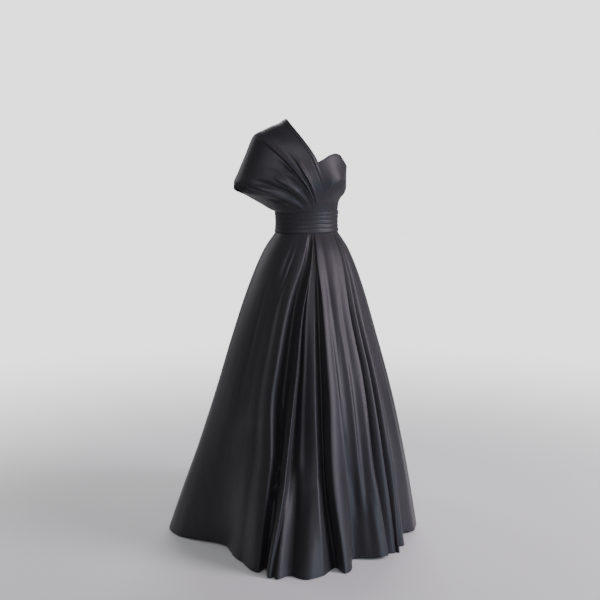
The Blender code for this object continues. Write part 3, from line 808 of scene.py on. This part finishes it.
@dataclass
class ClothPiece:
    """One cut piece of cloth as a thin closed sheet between two grids of points."""

    name: str
    outside: np.ndarray
    inside: np.ndarray
    sharp_degrees: float = 70.0

    def faces(self) -> list[list[int]]:
        """The faces of both layers and of the rim.

        Returns:
            Four corners for each face.
        """
        columns, rows = self.outside.shape[:2]
        at = np.arange(columns * rows).reshape(columns, rows)
        quads = np.stack((at[:-1, :-1], at[1:, :-1], at[1:, 1:], at[:-1, 1:]), -1).reshape(-1, 4)
        rim = np.concatenate((at[:, 0], at[-1, 1:], at[-2::-1, -1], at[0, -2:0:-1]))
        after = np.roll(rim, -1)
        shift = columns * rows
        edge = np.stack((after, rim, shift + rim, shift + after), -1)
        return np.concatenate((quads, shift + quads[:, ::-1], edge)).tolist()

    def area(self) -> float:
        """Measures the outer layer.

        Returns:
            Its area.
        """
        across = self.outside[1:, :-1] - self.outside[:-1, :-1]
        along = self.outside[:-1, 1:] - self.outside[:-1, :-1]
        return float(np.linalg.norm(np.cross(across, along), axis=-1).sum())

    def spans(self) -> tuple[float, float, float]:
        """Measures the piece along its cloth.

        Returns:
            Its widths at the foot and at the top, and its greatest length.
        """
        across = np.linalg.norm(np.diff(self.outside, axis=0), axis=-1).sum(axis=0)
        along = np.linalg.norm(np.diff(self.outside, axis=1), axis=-1).sum(axis=1)
        return float(across[0]), float(across[-1]), float(along.max())

    def build(self, satin: bpy.types.Material) -> None:
        """Makes the piece, dresses it and puts it in place of its solid.

        Args:
            satin: The cloth's material.
        """
        points = np.concatenate((self.outside.reshape(-1, 3), self.inside.reshape(-1, 3)))
        mesh = bpy.data.meshes.new(self.name)
        mesh.from_pydata(points.tolist(), [], self.faces())
        flow = self.flat_places()
        corners = np.empty(len(mesh.loops), np.int32)
        mesh.loops.foreach_get("vertex_index", corners)
        layer = mesh.uv_layers.new(name="cloth")
        layer.data.foreach_set("uv", flow[corners].astype(np.float32).ravel())
        mesh.shade_smooth()
        mesh.set_sharp_from_angle(angle=math.radians(self.sharp_degrees))
        mesh.materials.append(satin)
        made = bpy.data.objects.new(f"{self.name}_cloth", mesh)
        bpy.context.scene.collection.objects.link(made)
        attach(made, "dress")
        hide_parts(self.name)
        foot, top, length = self.spans()
        size = f"{foot:.3f} foot, {top:.3f} top, {length:.3f} long, area {self.area():.4f}"
        LOG.info("%s: %s, %d faces", made.name, size, len(mesh.polygons))

    def flat_places(self) -> np.ndarray:
        """Places of the points on the flat cloth, in metres, for both layers.

        Returns:
            Two numbers for each point.
        """
        columns, rows = self.outside.shape[:2]
        across = np.linalg.norm(np.diff(self.outside, axis=0), axis=-1).mean(axis=1)
        along = np.linalg.norm(np.diff(self.outside, axis=1), axis=-1).mean(axis=0)
        u = np.concatenate(([0.0], np.cumsum(across)))
        v = np.concatenate(([0.0], np.cumsum(along)))
        grid = np.stack(np.broadcast_arrays(u[:, None], v[None, :]), -1).reshape(-1, 2)
        return np.concatenate((grid, grid)).reshape(2 * columns * rows, 2)


@dataclass
class Figure:
    """The general figure that the dress is cut for, with its two cups."""

    cup_angle: float = 36.0
    cup_z: float = 0.148
    cup_out: float = 0.018
    cup_width: float = 22.0
    cup_height: float = 0.045

    def __post_init__(self) -> None:
        """Draws the curves of its sections."""
        self.at = curves(FIGURE, "z")

    def radius(self, angle: np.ndarray, z: np.ndarray) -> np.ndarray:
        """The figure's radius.

        Args:
            angle: Angles round the body.
            z: Heights.

        Returns:
            The radii.
        """
        side = self.at["side"](z)
        found = oval(angle, side, side, self.at["front"](z), self.at["back"](z))
        upright = np.exp(-(((z - self.cup_z) / self.cup_height) ** 2))
        for middle in (-self.cup_angle, self.cup_angle):
            sideways = np.exp(-((turn(angle - middle) / self.cup_width) ** 2))
            found = found + self.cup_out * sideways * upright
        return found

    def on(self, angle: np.ndarray, z: np.ndarray, out: np.ndarray) -> np.ndarray:
        """Points that stand out from the figure.

        Args:
            angle: Angles round the body.
            z: Heights.
            out: Distances from the figure.

        Returns:
            The points.
        """
        return around(angle, self.radius(angle, z) + out, z)


def wall(name: str, surface: Surface, columns: np.ndarray, rows: np.ndarray) -> ClothPiece:
    """A thin sheet on a surface, its side edges a hair back from the seams.

    Args:
        name: The piece's name.
        surface: Points from two shares.
        columns: Shares across.
        rows: Shares along.

    Returns:
        The piece.
    """
    s, t = columns[:, None], rows[None, :]
    points = surface(s, t)
    normals = normals_of(surface, s, t)
    across = unit(surface(s + SLOPE_STEP, t) - surface(s - SLOPE_STEP, t))
    points[0] += across[0] * SEAM_INSET
    points[-1] -= across[-1] * SEAM_INSET
    return ClothPiece(name, points, points - normals * THICKNESS)


@dataclass
class Bodice:
    """The strapless left side, with its cup, its gathers and its turned top edge."""

    figure: Figure
    front: tuple[float, float] = (-6.0, 90.0)
    back: tuple[float, float] = (90.0, 186.0)
    gather_step: float = 8.0
    gather_out: float = 0.0009
    gather_reach: tuple[float, float, float] = (10.0, 84.0, 6.0)
    gather_height: float = 0.42
    gather_slant: float = 9.0
    sway_out: float = 1.6
    sway_waves: float = 9.0
    edge_height: float = 0.0055
    edge_fade: float = 1.4
    edge_out: float = 0.0007
    columns: tuple[int, int] = (170, 110)
    plain_rows: int = 52
    plain_rows_to: float = 0.9
    edge_rows: int = 18
    edge_rows_from: float = 0.905

    def surface(self, start: float, end: float) -> Surface:
        """The surface between two angles.

        Args:
            start: Angle of its first side.
            end: Angle of its last side.

        Returns:
            The surface.
        """
        top = curves(TOP_EDGE, "angle")["z"]
        foot = BODICE_FOOT_Z - TUCK
        low, high, fade = self.gather_reach
        edge_end = self.edge_fade * self.edge_height

        def points(s: np.ndarray, t: np.ndarray) -> np.ndarray:
            """Points of the cloth.

            Args:
                s: Shares across.
                t: Shares up.

            Returns:
                The points.
            """
            angle = start + (end - start) * s
            height = top(angle) - foot
            reach = step(low, low + fade, angle) * (1 - step(high - fade, high, angle))
            sway = self.sway_out * np.sin(np.radians(self.sway_waves * angle)) + self.gather_slant * t
            wave = 0.5 - 0.5 * np.cos(2 * np.pi * (angle - sway) / self.gather_step)
            gathers = self.gather_out * wave * reach * (1 - step(0.0, self.gather_height, t))
            edge = self.edge_out * (1 - step(self.edge_height, edge_end, height * (1 - t)))
            creases = crease_height(BODICE_CREASES, angle, t)
            return self.figure.on(angle, foot + height * t, gathers + edge + creases)

        return points

    def build(self, satin: bpy.types.Material) -> None:
        """Builds the front and the back.

        Args:
            satin: The cloth's material.
        """
        plain = np.linspace(0.0, self.plain_rows_to, self.plain_rows)
        rows = np.concatenate((plain, np.linspace(self.edge_rows_from, 1.0, self.edge_rows)))
        halves = {"bodice_front": self.front, "bodice_back": self.back}
        for (name, ends), count in zip(halves.items(), self.columns):
            wall(name, self.surface(*ends), np.linspace(0, 1, count), rows).build(satin)


@dataclass
class Waistband:
    """The band of five soft pleats round the waist, fullest on the wearer's left."""

    figure: Figure
    pleats: int = 5
    out: float = 0.0030
    pleat_out: float = 0.0016
    flattest: float = 0.25
    fullest_angle: float = 110.0
    slow_waver: float = 0.16
    slow_waves: float = 2.0
    slow_shift: float = 40.0
    quick_waver: float = 0.10
    quick_waves: float = 7.0
    quick_twist: float = 25.0
    twist_rate: float = 5.0
    low_flank: float = 0.32
    high_flank: float = 0.14
    lean: float = 0.0010
    columns: int = 200
    stops: tuple[float, ...] = (0.0, 0.05, 0.10, 0.15, 0.22, 0.32, 0.45, 0.60, 0.74, 0.84, 0.90, 0.95)

    def surface(self, start: float, end: float) -> Surface:
        """The surface between two angles.

        Args:
            start: Angle of its first side.
            end: Angle of its last side.

        Returns:
            The surface.
        """

        def points(s: np.ndarray, t: np.ndarray) -> np.ndarray:
            """Points of the cloth.

            Args:
                s: Shares across.
                t: Shares up.

            Returns:
                The points.
            """
            angle = start + (end - start) * s
            slow = self.slow_waver * np.sin(np.radians(self.slow_waves * angle + self.slow_shift))
            twist = self.quick_twist * np.sin(self.twist_rate * t)
            quick = self.quick_waver * np.sin(np.radians(self.quick_waves * angle + twist))
            waver = (slow + quick) * np.sin(np.pi * t)
            z = -BAND_HALF + 2 * BAND_HALF * (t + waver / self.pleats)
            share = (self.pleats * t) % 1.0
            pleat = np.minimum(1.0, np.minimum(share / self.low_flank, (1 - share) / self.high_flank))
            full = 0.5 + 0.5 * np.cos(np.radians(angle - self.fullest_angle))
            fullness = self.flattest + (1 - self.flattest) * full
            height = self.pleat_out * fullness * pleat * pleat * (3 - 2 * pleat)
            return self.figure.on(angle, z, self.out + height + self.lean * (0.5 - share) * pleat)

        return points

    def build(self, satin: bpy.types.Material) -> None:
        """Builds the front and the back half.

        Args:
            satin: The cloth's material.
        """
        rows = np.append((np.arange(self.pleats)[:, None] + np.array(self.stops)).ravel() / self.pleats, 1.0)
        columns = np.linspace(0, 1, self.columns)
        for name, start in (("waistband_front", -90.0), ("waistband_back", 90.0)):
            wall(name, self.surface(start, start + 180.0), columns, rows).build(satin)


@dataclass
class Drape:
    """Half of the draped bodice and cape sleeve, front or back."""

    figure: Figure
    side: Side
    foot_out: float = 0.0042
    bust_share: float = 0.5
    chest_share: float = 0.56
    chest_step: float = 0.02
    seam_end: float = 0.80
    blend: tuple[float, float] = (0.76, 0.88)
    over_round: float = 1.05
    neck_sweep: float = 0.45
    neck_sweep_end: float = 0.35
    pleat_fade: float = 0.25
    slope_step: float = 0.004
    crisp: float = 0.55
    tuck_share: float = 0.025
    tuck_full: float = 0.0175
    tuck_in: float = 0.0040
    tuck_rows: int = 4
    level_top: float = 0.97
    level_side: float = 0.985
    column_step: float = 0.0095
    fine_reach: float = 0.02
    rows: int = 110

    def __post_init__(self) -> None:
        """Picks the side's tables."""
        in_front = self.side is Side.FRONT
        self.name = "drape_front" if in_front else "drape_back"
        self.at = curves(FRONT_DRAPE if in_front else BACK_DRAPE, "s")
        self.pleats = FRONT_PLEATS if in_front else BACK_PLEATS
        self.creases = FRONT_DRAPE_CREASES if in_front else BACK_DRAPE_CREASES

    def through(self, share: np.ndarray, low: np.ndarray, bust: np.ndarray, chest: np.ndarray) -> np.ndarray:
        """A smooth way from the waistband over the bust to the chest.

        Args:
            share: Share of the way.
            low: Value at the waistband.
            bust: Value on the bust.
            chest: Value on the chest.

        Returns:
            The values along it.
        """
        first = (bust - low) / self.bust_share
        second = (chest - bust) / (1 - self.bust_share)
        middle = tangent(first, second)
        inner = np.clip(share, 0.0, 1.0)
        below = inner < self.bust_share
        h = np.where(below, self.bust_share, 1 - self.bust_share)
        t = np.where(below, inner, inner - self.bust_share) / h
        ends = (np.where(below, low, bust), np.where(below, bust, chest))
        slopes = (np.where(below, first, middle), np.where(below, middle, second))
        outer = np.minimum(share, 0.0) * first + np.maximum(share - 1, 0.0) * second
        return hermite(t, h, ends, slopes) + outer

    def low(self, at: dict[str, np.ndarray], share: np.ndarray) -> np.ndarray:
        """The stretch that lies on the figure, from the waistband to the chest.

        Args:
            at: Values of the section.
            share: Share of the way up it.

        Returns:
            The points.
        """
        angle = self.through(share, at["waist_angle"], at["bust_angle"], at["chest_angle"])
        foot = np.full_like(at["bust_z"], BODICE_FOOT_Z)
        z = self.through(share, foot, at["bust_z"], at["chest_z"])
        foot_out = np.full_like(foot, self.foot_out)
        out = self.through(share, foot_out, at["bust_out"], at["chest_out"])
        return self.figure.on(angle, z, out)

    def base(self, s: np.ndarray, t: np.ndarray) -> np.ndarray:
        """Points of the drape before its pleats.

        Args:
            s: Shares from the neckline to the underarm seam.
            t: Shares from the waistband to the top.

        Returns:
            The points.
        """
        s, t = np.broadcast_arrays(s, t)
        at = {name: curve(s) for name, curve in self.at.items()}
        share = self.chest_share
        lower = self.low(at, np.minimum(t / share, 1.0))
        chest = self.low(at, np.ones_like(t))
        slope = (chest - self.low(at, np.full_like(t, 1.0 - self.chest_step))) / self.chest_step
        rise = slope * (1 - share) / share
        top = np.stack((at["top_x"], at["top_y"], at["top_z"]), -1)
        reach = top - chest
        straight = step(*self.blend, s)[..., None]
        sweep = self.neck_sweep * (1 - step(0.0, self.neck_sweep_end, s))
        round_off = np.full_like(sweep, self.side.value * self.over_round)
        over = np.stack((sweep, round_off, np.zeros_like(sweep)), -1)
        over = over * np.linalg.norm(reach, axis=-1, keepdims=True)
        arrive = over * (1 - straight) + reach * straight
        v = np.maximum((t - share) / (1 - share), 0.0)[..., None]
        upper = hermite(v, np.ones_like(v), (chest, top), (rise, arrive))
        return np.where((t <= share)[..., None], lower, upper)

    def normal(self, s: np.ndarray, t: np.ndarray) -> np.ndarray:
        """Outward normals of the plain drape, level with the seams along them.

        Args:
            s: Shares across.
            t: Shares along.

        Returns:
            The normals.
        """
        s, t = np.broadcast_arrays(s, t)
        apart = 2 * self.slope_step
        low = np.clip(t - self.slope_step, 0.0, 1.0 - apart)
        left = np.clip(s - self.slope_step, 0.0, 1.0 - apart)
        across = self.base(left + apart, t) - self.base(left, t)
        up = self.base(s, low + apart) - self.base(s, low)
        found = np.cross(up, across) * self.side.value
        near_top = step(self.level_top, 1.0, t) * (s <= self.seam_end)
        near_side = step(self.level_side, 1.0, s)
        found[..., 1] *= 1 - np.maximum(near_top, near_side)
        return unit(found)

    def height(self, s: np.ndarray, t: np.ndarray) -> np.ndarray:
        """How far pleats and creases raise the cloth.

        Args:
            s: Shares across.
            t: Shares along.

        Returns:
            The heights.
        """
        total = crease_height(self.creases, s, t)
        for pleat in self.pleats:
            fade = step(pleat.low, pleat.low + self.pleat_fade, t)
            fade = fade * (1 - step(pleat.high - self.pleat_fade, pleat.high, t))
            after = pleat.after * (self.crisp if pleat.out > 0 else 1.0)
            total = total + pleat.out * bump(s - pleat.s, pleat.before, after) * fade
        return total

    def build(self, satin: bpy.types.Material) -> None:
        """Builds this half.

        Args:
            satin: The cloth's material.
        """
        marks = [pleat.s + 0.5 * self.crisp * pleat.after for pleat in self.pleats]
        columns = dense(0.0, 1.0, self.column_step, marks, self.fine_reach)
        tucked_rows = np.linspace(-self.tuck_share, 0.0, self.tuck_rows)[:-1]
        rows = np.concatenate((tucked_rows, np.linspace(0.0, 1.0, self.rows)))
        s, t = columns[:, None], rows[None, :]
        normals = self.normal(s, t)
        tucked = self.tuck_in * step(0.0, self.tuck_full, -t)
        outside = self.base(s, t) + normals * (self.height(s, t) - tucked)[..., None]
        inside = outside - normals * THICKNESS
        for grid in (outside, inside):
            grid[..., 1] = self.side.value * np.minimum(self.side.value * grid[..., 1], -SEAM_INSET)
        ClothPiece(self.name, outside, inside).build(satin)


@dataclass
class Skirt:
    """The floor-length skirt of five panels, pleated at the waistband."""

    fan_reach: float = 0.20
    pleat_start: float = 0.02
    lift_power: int = 4
    lean_back: float = 2.2
    lean_on: float = 1.3
    lean_ahead: float = 0.3
    lean_start: float = 0.12
    lean_loss: float = 0.7
    lean_loss_from: float = 0.75
    crease_start: float = 0.1
    column_step: float = 0.62
    fine_reach: float = 1.8
    rows: int = 150
    row_power: float = 1.12
    ripple_count: int = 90
    ripple_seed: int = 5
    stitch_height: float = 0.028
    stitch_depth: float = 0.0006
    stitch_width: float = 0.0030

    def __post_init__(self) -> None:
        """Draws the skirt's curves and its faint ripples."""
        self.at = curves(SKIRT, "z")
        self.fan = curves(FAN, "hem_angle")["waist_angle"]
        swings = curves(SWINGS, "angle")
        self.swings = [swings[name] for name in ("waist", "hip", "thigh", "knee", "hem")]
        self.depths = [Curve(PLEAT_HEIGHTS, (p.waist, p.hip, p.knee, p.hem)) for p in SKIRT_PLEATS]
        draw = np.random.default_rng(self.ripple_seed)
        ranges = zip(RIPPLE_LEAST, RIPPLE_MOST)
        columns = [draw.uniform(least, most, self.ripple_count) for least, most in ranges]
        self.ripples = [Ripple(*row) for row in zip(*columns)]

    def cloth_angle(self, hem_angle: np.ndarray, drop: np.ndarray) -> np.ndarray:
        """The angles of lines of the cloth at shares of the skirt's height.

        Args:
            hem_angle: The lines, by their angle at the hem.
            drop: Shares of the way down.

        Returns:
            The angles.
        """
        flat = turn(hem_angle)
        waist = self.fan(flat) + (hem_angle - flat)
        level = np.exp(-drop / self.fan_reach)
        end = math.exp(-1.0 / self.fan_reach)
        inner = np.clip(flat, SWINGS[0].angle, SWINGS[-1].angle)
        swing = blend_heights(SWING_HEIGHTS, [curve(inner) for curve in self.swings], drop)
        return hem_angle + (waist - hem_angle) * (level - end) / (1 - end) + swing

    def relief(self, hem_angle: np.ndarray, drop: np.ndarray) -> np.ndarray:
        """How far pleats, creases and ripples raise the skirt.

        Args:
            hem_angle: Lines of the cloth.
            drop: Shares of the way down.

        Returns:
            The heights.
        """
        total = np.zeros(np.broadcast_shapes(hem_angle.shape, drop.shape))
        for pleat, depth in zip(SKIRT_PLEATS, self.depths):
            rise = bump(turn(hem_angle - pleat.angle), pleat.before, pleat.after)
            total = total + rise * depth(drop)
        total = total * step(-self.pleat_start, self.pleat_start, drop)
        whole = np.where(hem_angle < -90.0, hem_angle + 360.0, hem_angle)
        total = total + crease_height(SKIRT_CREASES, whole, drop) * step(0.0, self.crease_start, drop)
        for ripple in self.ripples:
            past = drop - ripple.drop
            gap = turn(hem_angle - ripple.angle - ripple.drift * past)
            along = np.exp(-((past / ripple.reach) ** 2))
            total = total + ripple.out * np.exp(-((gap / ripple.width) ** 2)) * along
        return total

    def lean(self, hem_angle: np.ndarray, drop: np.ndarray) -> np.ndarray:
        """How far the crests of pressed pleats lean over their steep flanks.

        Args:
            hem_angle: Lines of the cloth.
            drop: Shares of the way down.

        Returns:
            The lean, sideways.
        """
        total = np.zeros(np.broadcast_shapes(hem_angle.shape, drop.shape))
        for pleat in SKIRT_PLEATS:
            if pleat.lean:
                steep = min(pleat.before, pleat.after)
                past = turn(hem_angle - pleat.angle) * math.copysign(1.0, pleat.lean)
                past = past - self.lean_ahead * steep
                total = total + pleat.lean * bump(past, self.lean_back * steep, self.lean_on * steep)
        kept = 1 - self.lean_loss * step(self.lean_loss_from, 1.0, drop)
        return total * step(0.0, self.lean_start, drop) * kept

    def point(self, hem_angle: np.ndarray, drop: np.ndarray) -> np.ndarray:
        """Points of the skirt.

        Args:
            hem_angle: Lines of the cloth.
            drop: Shares of the way down.

        Returns:
            The points.
        """
        lift = sum(row.up * bump(turn(hem_angle - row.angle), row.before, row.after) for row in HEM_LIFTS)
        fall = HEM_Z - SKIRT_TOP_Z
        z = SKIRT_TOP_Z + fall * drop + lift * np.maximum(drop, 0.0) ** self.lift_power
        angle = self.cloth_angle(hem_angle, drop)
        ring = [self.at[name](z) for name in ("left", "right", "front", "back")]
        above_hem = (drop - 1) * fall
        stitch = self.stitch_depth * np.exp(-(((above_hem - self.stitch_height) / self.stitch_width) ** 2))
        radius = oval(angle, *ring) + self.relief(hem_angle, drop) - stitch
        return around(angle + np.degrees(self.lean(hem_angle, drop) / radius), radius, z)

    def panel(self, panel: Panel) -> ClothPiece:
        """One panel, with its columns close together on sharp pleats.

        Args:
            panel: The panel's row.

        Returns:
            The piece.
        """
        sharp = [pleat for pleat in SKIRT_PLEATS if pleat.lean]
        marks = [pleat.angle + 0.5 * (pleat.after if pleat.lean > 0 else -pleat.before) for pleat in sharp]
        angles = dense(panel.start, panel.end, self.column_step, marks, self.fine_reach)
        width = panel.end - panel.start
        tuck = TUCK / (SKIRT_TOP_Z - HEM_Z)
        up = np.linspace(0.0, 1.0, self.rows)
        rows = 1 - (1 - up) ** self.row_power

        def points(s: np.ndarray, t: np.ndarray) -> np.ndarray:
            """Points from shares across and up."""
            return self.point(panel.start + width * s, (1 + tuck) * (1 - t) - tuck)

        return wall(panel.name, points, (angles - panel.start) / width, rows)

    def build(self, satin: bpy.types.Material) -> None:
        """Builds every panel.

        Args:
            satin: The cloth's material.
        """
        for panel in SKIRT_PANELS:
            self.panel(panel).build(satin)


@dataclass
class Zip:
    """The concealed zip in the left side seam: its slider, its pull tab and its teeth inside."""

    figure: Figure
    nodes: dict[str, bpy.types.Object]
    tooth_step: float = 0.0016
    tooth: tuple[float, float, float] = (0.0008, 0.0026, 0.0009)
    teeth_z: tuple[float, float] = (0.042, 0.158)
    seam_angle: float = 90.0
    inset: float = 0.0022
    round_off: float = 0.00018

    def dress_hardware(self, metal: bpy.types.Material) -> None:
        """Gives the slider and the pull tab their finish and soft edges.

        Args:
            metal: The zip's metal.
        """
        for name in ("zip_slider", "zip_pull"):
            node = self.nodes[name]
            node.data.materials.clear()
            node.data.materials.append(metal)
            bevel = node.modifiers.new("soft_edges", "BEVEL")
            bevel.width = self.round_off
            bevel.segments = 2
            bevel.limit_method = "ANGLE"
            LOG.info("%s: dressed", name)

    def build_teeth(self, black: bpy.types.Material) -> None:
        """Builds the row of teeth inside the bodice's side seam.

        Args:
            black: The teeth's finish.
        """
        heights = np.arange(*self.teeth_z, self.tooth_step)
        corners = np.array([(x, y, z) for z in (-0.5, 0.5) for y in (-0.5, 0.5) for x in (-0.5, 0.5)])
        quads = np.array(
            [(0, 2, 3, 1), (4, 5, 7, 6), (0, 1, 5, 4), (2, 6, 7, 3), (0, 4, 6, 2), (1, 3, 7, 5)]
        )
        angle = np.full_like(heights, self.seam_angle)
        middle = self.figure.on(angle, heights, np.full_like(heights, -self.inset))
        points = middle[:, None, :] + corners[None] * np.array(self.tooth)
        faces = quads[None] + 8 * np.arange(len(heights))[:, None, None]
        mesh = bpy.data.meshes.new("zip_teeth")
        mesh.from_pydata(points.reshape(-1, 3).tolist(), [], faces.reshape(-1, 4).tolist())
        mesh.materials.append(black)
        made = bpy.data.objects.new("zip_teeth", mesh)
        bpy.context.scene.collection.objects.link(made)
        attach(made, "dress")
        LOG.info("zip_teeth: %d teeth", len(heights))


@dataclass(frozen=True)
class Lamp:
    """A soft lamp of the studio."""

    name: str
    place: tuple[float, float, float]
    aim: tuple[float, float, float]
    width: float
    height: float
    power: float
    colour: tuple[float, float, float] = (1.0, 1.0, 1.0)
    spread: float = 180.0

    def build(self) -> None:
        """Hangs the lamp."""
        data = bpy.data.lights.new(self.name, "AREA")
        data.shape = "RECTANGLE"
        data.size = self.width
        data.size_y = self.height
        data.energy = self.power
        data.color = self.colour
        data.spread = math.radians(self.spread)
        lamp = bpy.data.objects.new(self.name, data)
        way = (Vector(self.aim) - Vector(self.place)).to_track_quat("-Z", "Y")
        lamp.matrix_world = Matrix.Translation(self.place) @ way.to_matrix().to_4x4()
        bpy.context.scene.collection.objects.link(lamp)


@dataclass
class Studio:
    """A pale floor and backdrop, soft lamps and the camera."""

    floor_colour: tuple[float, float, float] = (0.92, 0.92, 0.92)
    floor_size: float = 9.0
    floor_fade: tuple[float, float] = (0.9, 3.6)
    floor_gap: float = 0.002
    floor_roughness: float = 0.9
    floor_specular: float = 0.1
    ambient: float = 0.18
    backdrop: float = 2.2
    azimuth: float = -18.0
    distance: float = 4.0
    camera_z: float = 0.34
    scale: float = 280.0
    picture: float = 600.0
    waist_pixel: tuple[float, float] = (306.5, 221.0)
    sensor: float = 36.0
    aim_rounds: int = 20
    lamps: tuple[Lamp, ...] = (
        Lamp("window", (3.1, -2.2, 1.1), (0.0, 0.0, -0.62), 1.8, 2.4, 44.0, (1.0, 0.88, 1.0), 100.0),
        Lamp("low_window", (2.3, -3.0, -0.7), (0.0, 0.0, -0.95), 1.4, 0.7, 8.0, (0.40, 0.80, 1.0), 110.0),
        Lamp("front_fill", (-0.4, -4.4, 2.0), (0.0, 0.0, -0.3), 2.0, 2.0, 9.0, (0.97, 0.94, 1.0)),
        Lamp("top_fill", (-0.9, -2.6, 1.5), (-0.05, 0.0, 0.15), 1.2, 0.8, 2.6, (0.92, 0.95, 1.0), 60.0),
        Lamp("right_fill", (-2.4, 3.0, 1.3), (0.0, 0.0, -0.35), 1.8, 2.0, 30.0, (0.95, 0.96, 1.0)),
        Lamp("back_fill", (1.4, 3.4, 2.2), (0.0, 0.0, -0.35), 2.2, 2.2, 110.0, (0.97, 0.95, 1.0)),
    )

    def build_floor(self) -> None:
        """Lays the plain floor at the hem."""
        half = self.floor_size / 2
        z = HEM_Z - self.floor_gap
        corners = [(-half, -half, z), (half, -half, z), (half, half, z), (-half, half, z)]
        mesh = bpy.data.meshes.new("floor")
        mesh.from_pydata(corners, [], [(0, 1, 2, 3)])
        paint = new_material(
            "floor",
            {
                "Base Color": (*self.floor_colour, 1.0),
                "Roughness": self.floor_roughness,
                "Specular IOR Level": self.floor_specular,
            },
        )
        self.fade_floor(paint.node_tree)
        mesh.materials.append(paint)
        floor = bpy.data.objects.new("floor", mesh)
        bpy.context.scene.collection.objects.link(floor)

    def fade_floor(self, tree: bpy.types.NodeTree) -> None:
        """Lets the floor fade into the backdrop away from the dress.

        Args:
            tree: The floor material's nodes.
        """
        place = tree.nodes.new("ShaderNodeTexCoord")
        distance = tree.nodes.new("ShaderNodeVectorMath")
        distance.operation = "LENGTH"
        fade = tree.nodes.new("ShaderNodeMapRange")
        fade.interpolation_type = "SMOOTHSTEP"
        near, far = self.floor_fade
        for name, value in (("From Min", near), ("From Max", far), ("To Min", 1.0), ("To Max", 0.0)):
            fade.inputs[name].default_value = value
        drop_z = tree.nodes.new("ShaderNodeVectorMath")
        drop_z.operation = "MULTIPLY"
        drop_z.inputs[1].default_value = (1.0, 1.0, 0.0)
        tree.links.new(place.outputs["Object"], drop_z.inputs[0])
        tree.links.new(drop_z.outputs["Vector"], distance.inputs[0])
        tree.links.new(distance.outputs["Value"], fade.inputs["Value"])
        tree.links.new(fade.outputs["Result"], tree.nodes["Principled BSDF"].inputs["Alpha"])

    def build_world(self) -> None:
        """Sets a pale backdrop that lights the scene softly."""
        world = bpy.data.worlds.new("studio")
        world.use_nodes = True
        nodes, links = world.node_tree.nodes, world.node_tree.links
        background = nodes["Background"]
        background.inputs["Color"].default_value = (1.0, 1.0, 1.0, 1.0)
        path = nodes.new("ShaderNodeLightPath")
        strength = nodes.new("ShaderNodeMapRange")
        strength.inputs["To Min"].default_value = self.ambient
        strength.inputs["To Max"].default_value = self.backdrop
        links.new(path.outputs["Is Camera Ray"], strength.inputs["Value"])
        links.new(strength.outputs["Result"], background.inputs["Strength"])
        bpy.context.scene.world = world

    def build_camera(self) -> None:
        """Places the camera so that the waist falls on its point of the picture."""
        turn_z = math.radians(self.azimuth)
        focal = self.scale * self.distance
        pitch = 0.0
        rise = self.picture / 2 - self.waist_pixel[1]
        for _ in range(self.aim_rounds):
            pitch = math.atan2(self.camera_z, self.distance) + math.atan2(rise, focal)
            depth = self.distance * math.cos(pitch) + self.camera_z * math.sin(pitch)
            focal = self.scale * depth
        right = Vector((math.cos(turn_z), math.sin(turn_z), 0.0))
        ahead = Vector(
            (-math.sin(turn_z) * math.cos(pitch), math.cos(turn_z) * math.cos(pitch), -math.sin(pitch))
        )
        yaw = math.atan2(self.waist_pixel[0] - self.picture / 2, focal)
        forward = ahead * math.cos(yaw) - right * math.sin(yaw)
        right = right * math.cos(yaw) + ahead * math.sin(yaw)
        up = right.cross(forward)
        data = bpy.data.cameras.new("camera")
        data.sensor_width = self.sensor
        data.lens = focal * self.sensor / self.picture
        camera = bpy.data.objects.new("camera", data)
        place = (math.sin(turn_z) * self.distance, -math.cos(turn_z) * self.distance, self.camera_z)
        camera.matrix_world = Matrix.Translation(place) @ Matrix((right, up, -forward)).transposed().to_4x4()
        bpy.context.scene.collection.objects.link(camera)
        bpy.context.scene.camera = camera

    def build(self) -> None:
        """Builds the whole studio."""
        self.build_floor()
        self.build_world()
        for lamp in self.lamps:
            lamp.build()
        self.build_camera()


def main() -> None:
    """Builds the dress piece by piece, then the studio."""
    logging.basicConfig(level=logging.INFO, format="%(message)s")
    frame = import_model()
    satin = Satin().material()
    figure = Figure()
    Bodice(figure).build(satin)
    for side in Side:
        Drape(figure, side).build(satin)
    Waistband(figure).build(satin)
    Skirt().build(satin)
    zipper = Zip(figure, frame["nodes"])
    zipper.dress_hardware(Blackened("zip_metal").material())
    zipper.build_teeth(Blackened("zip_teeth", roughness=0.5, metallic=0.0).material())
    Studio().build()


if __name__ == "__main__":
    main()
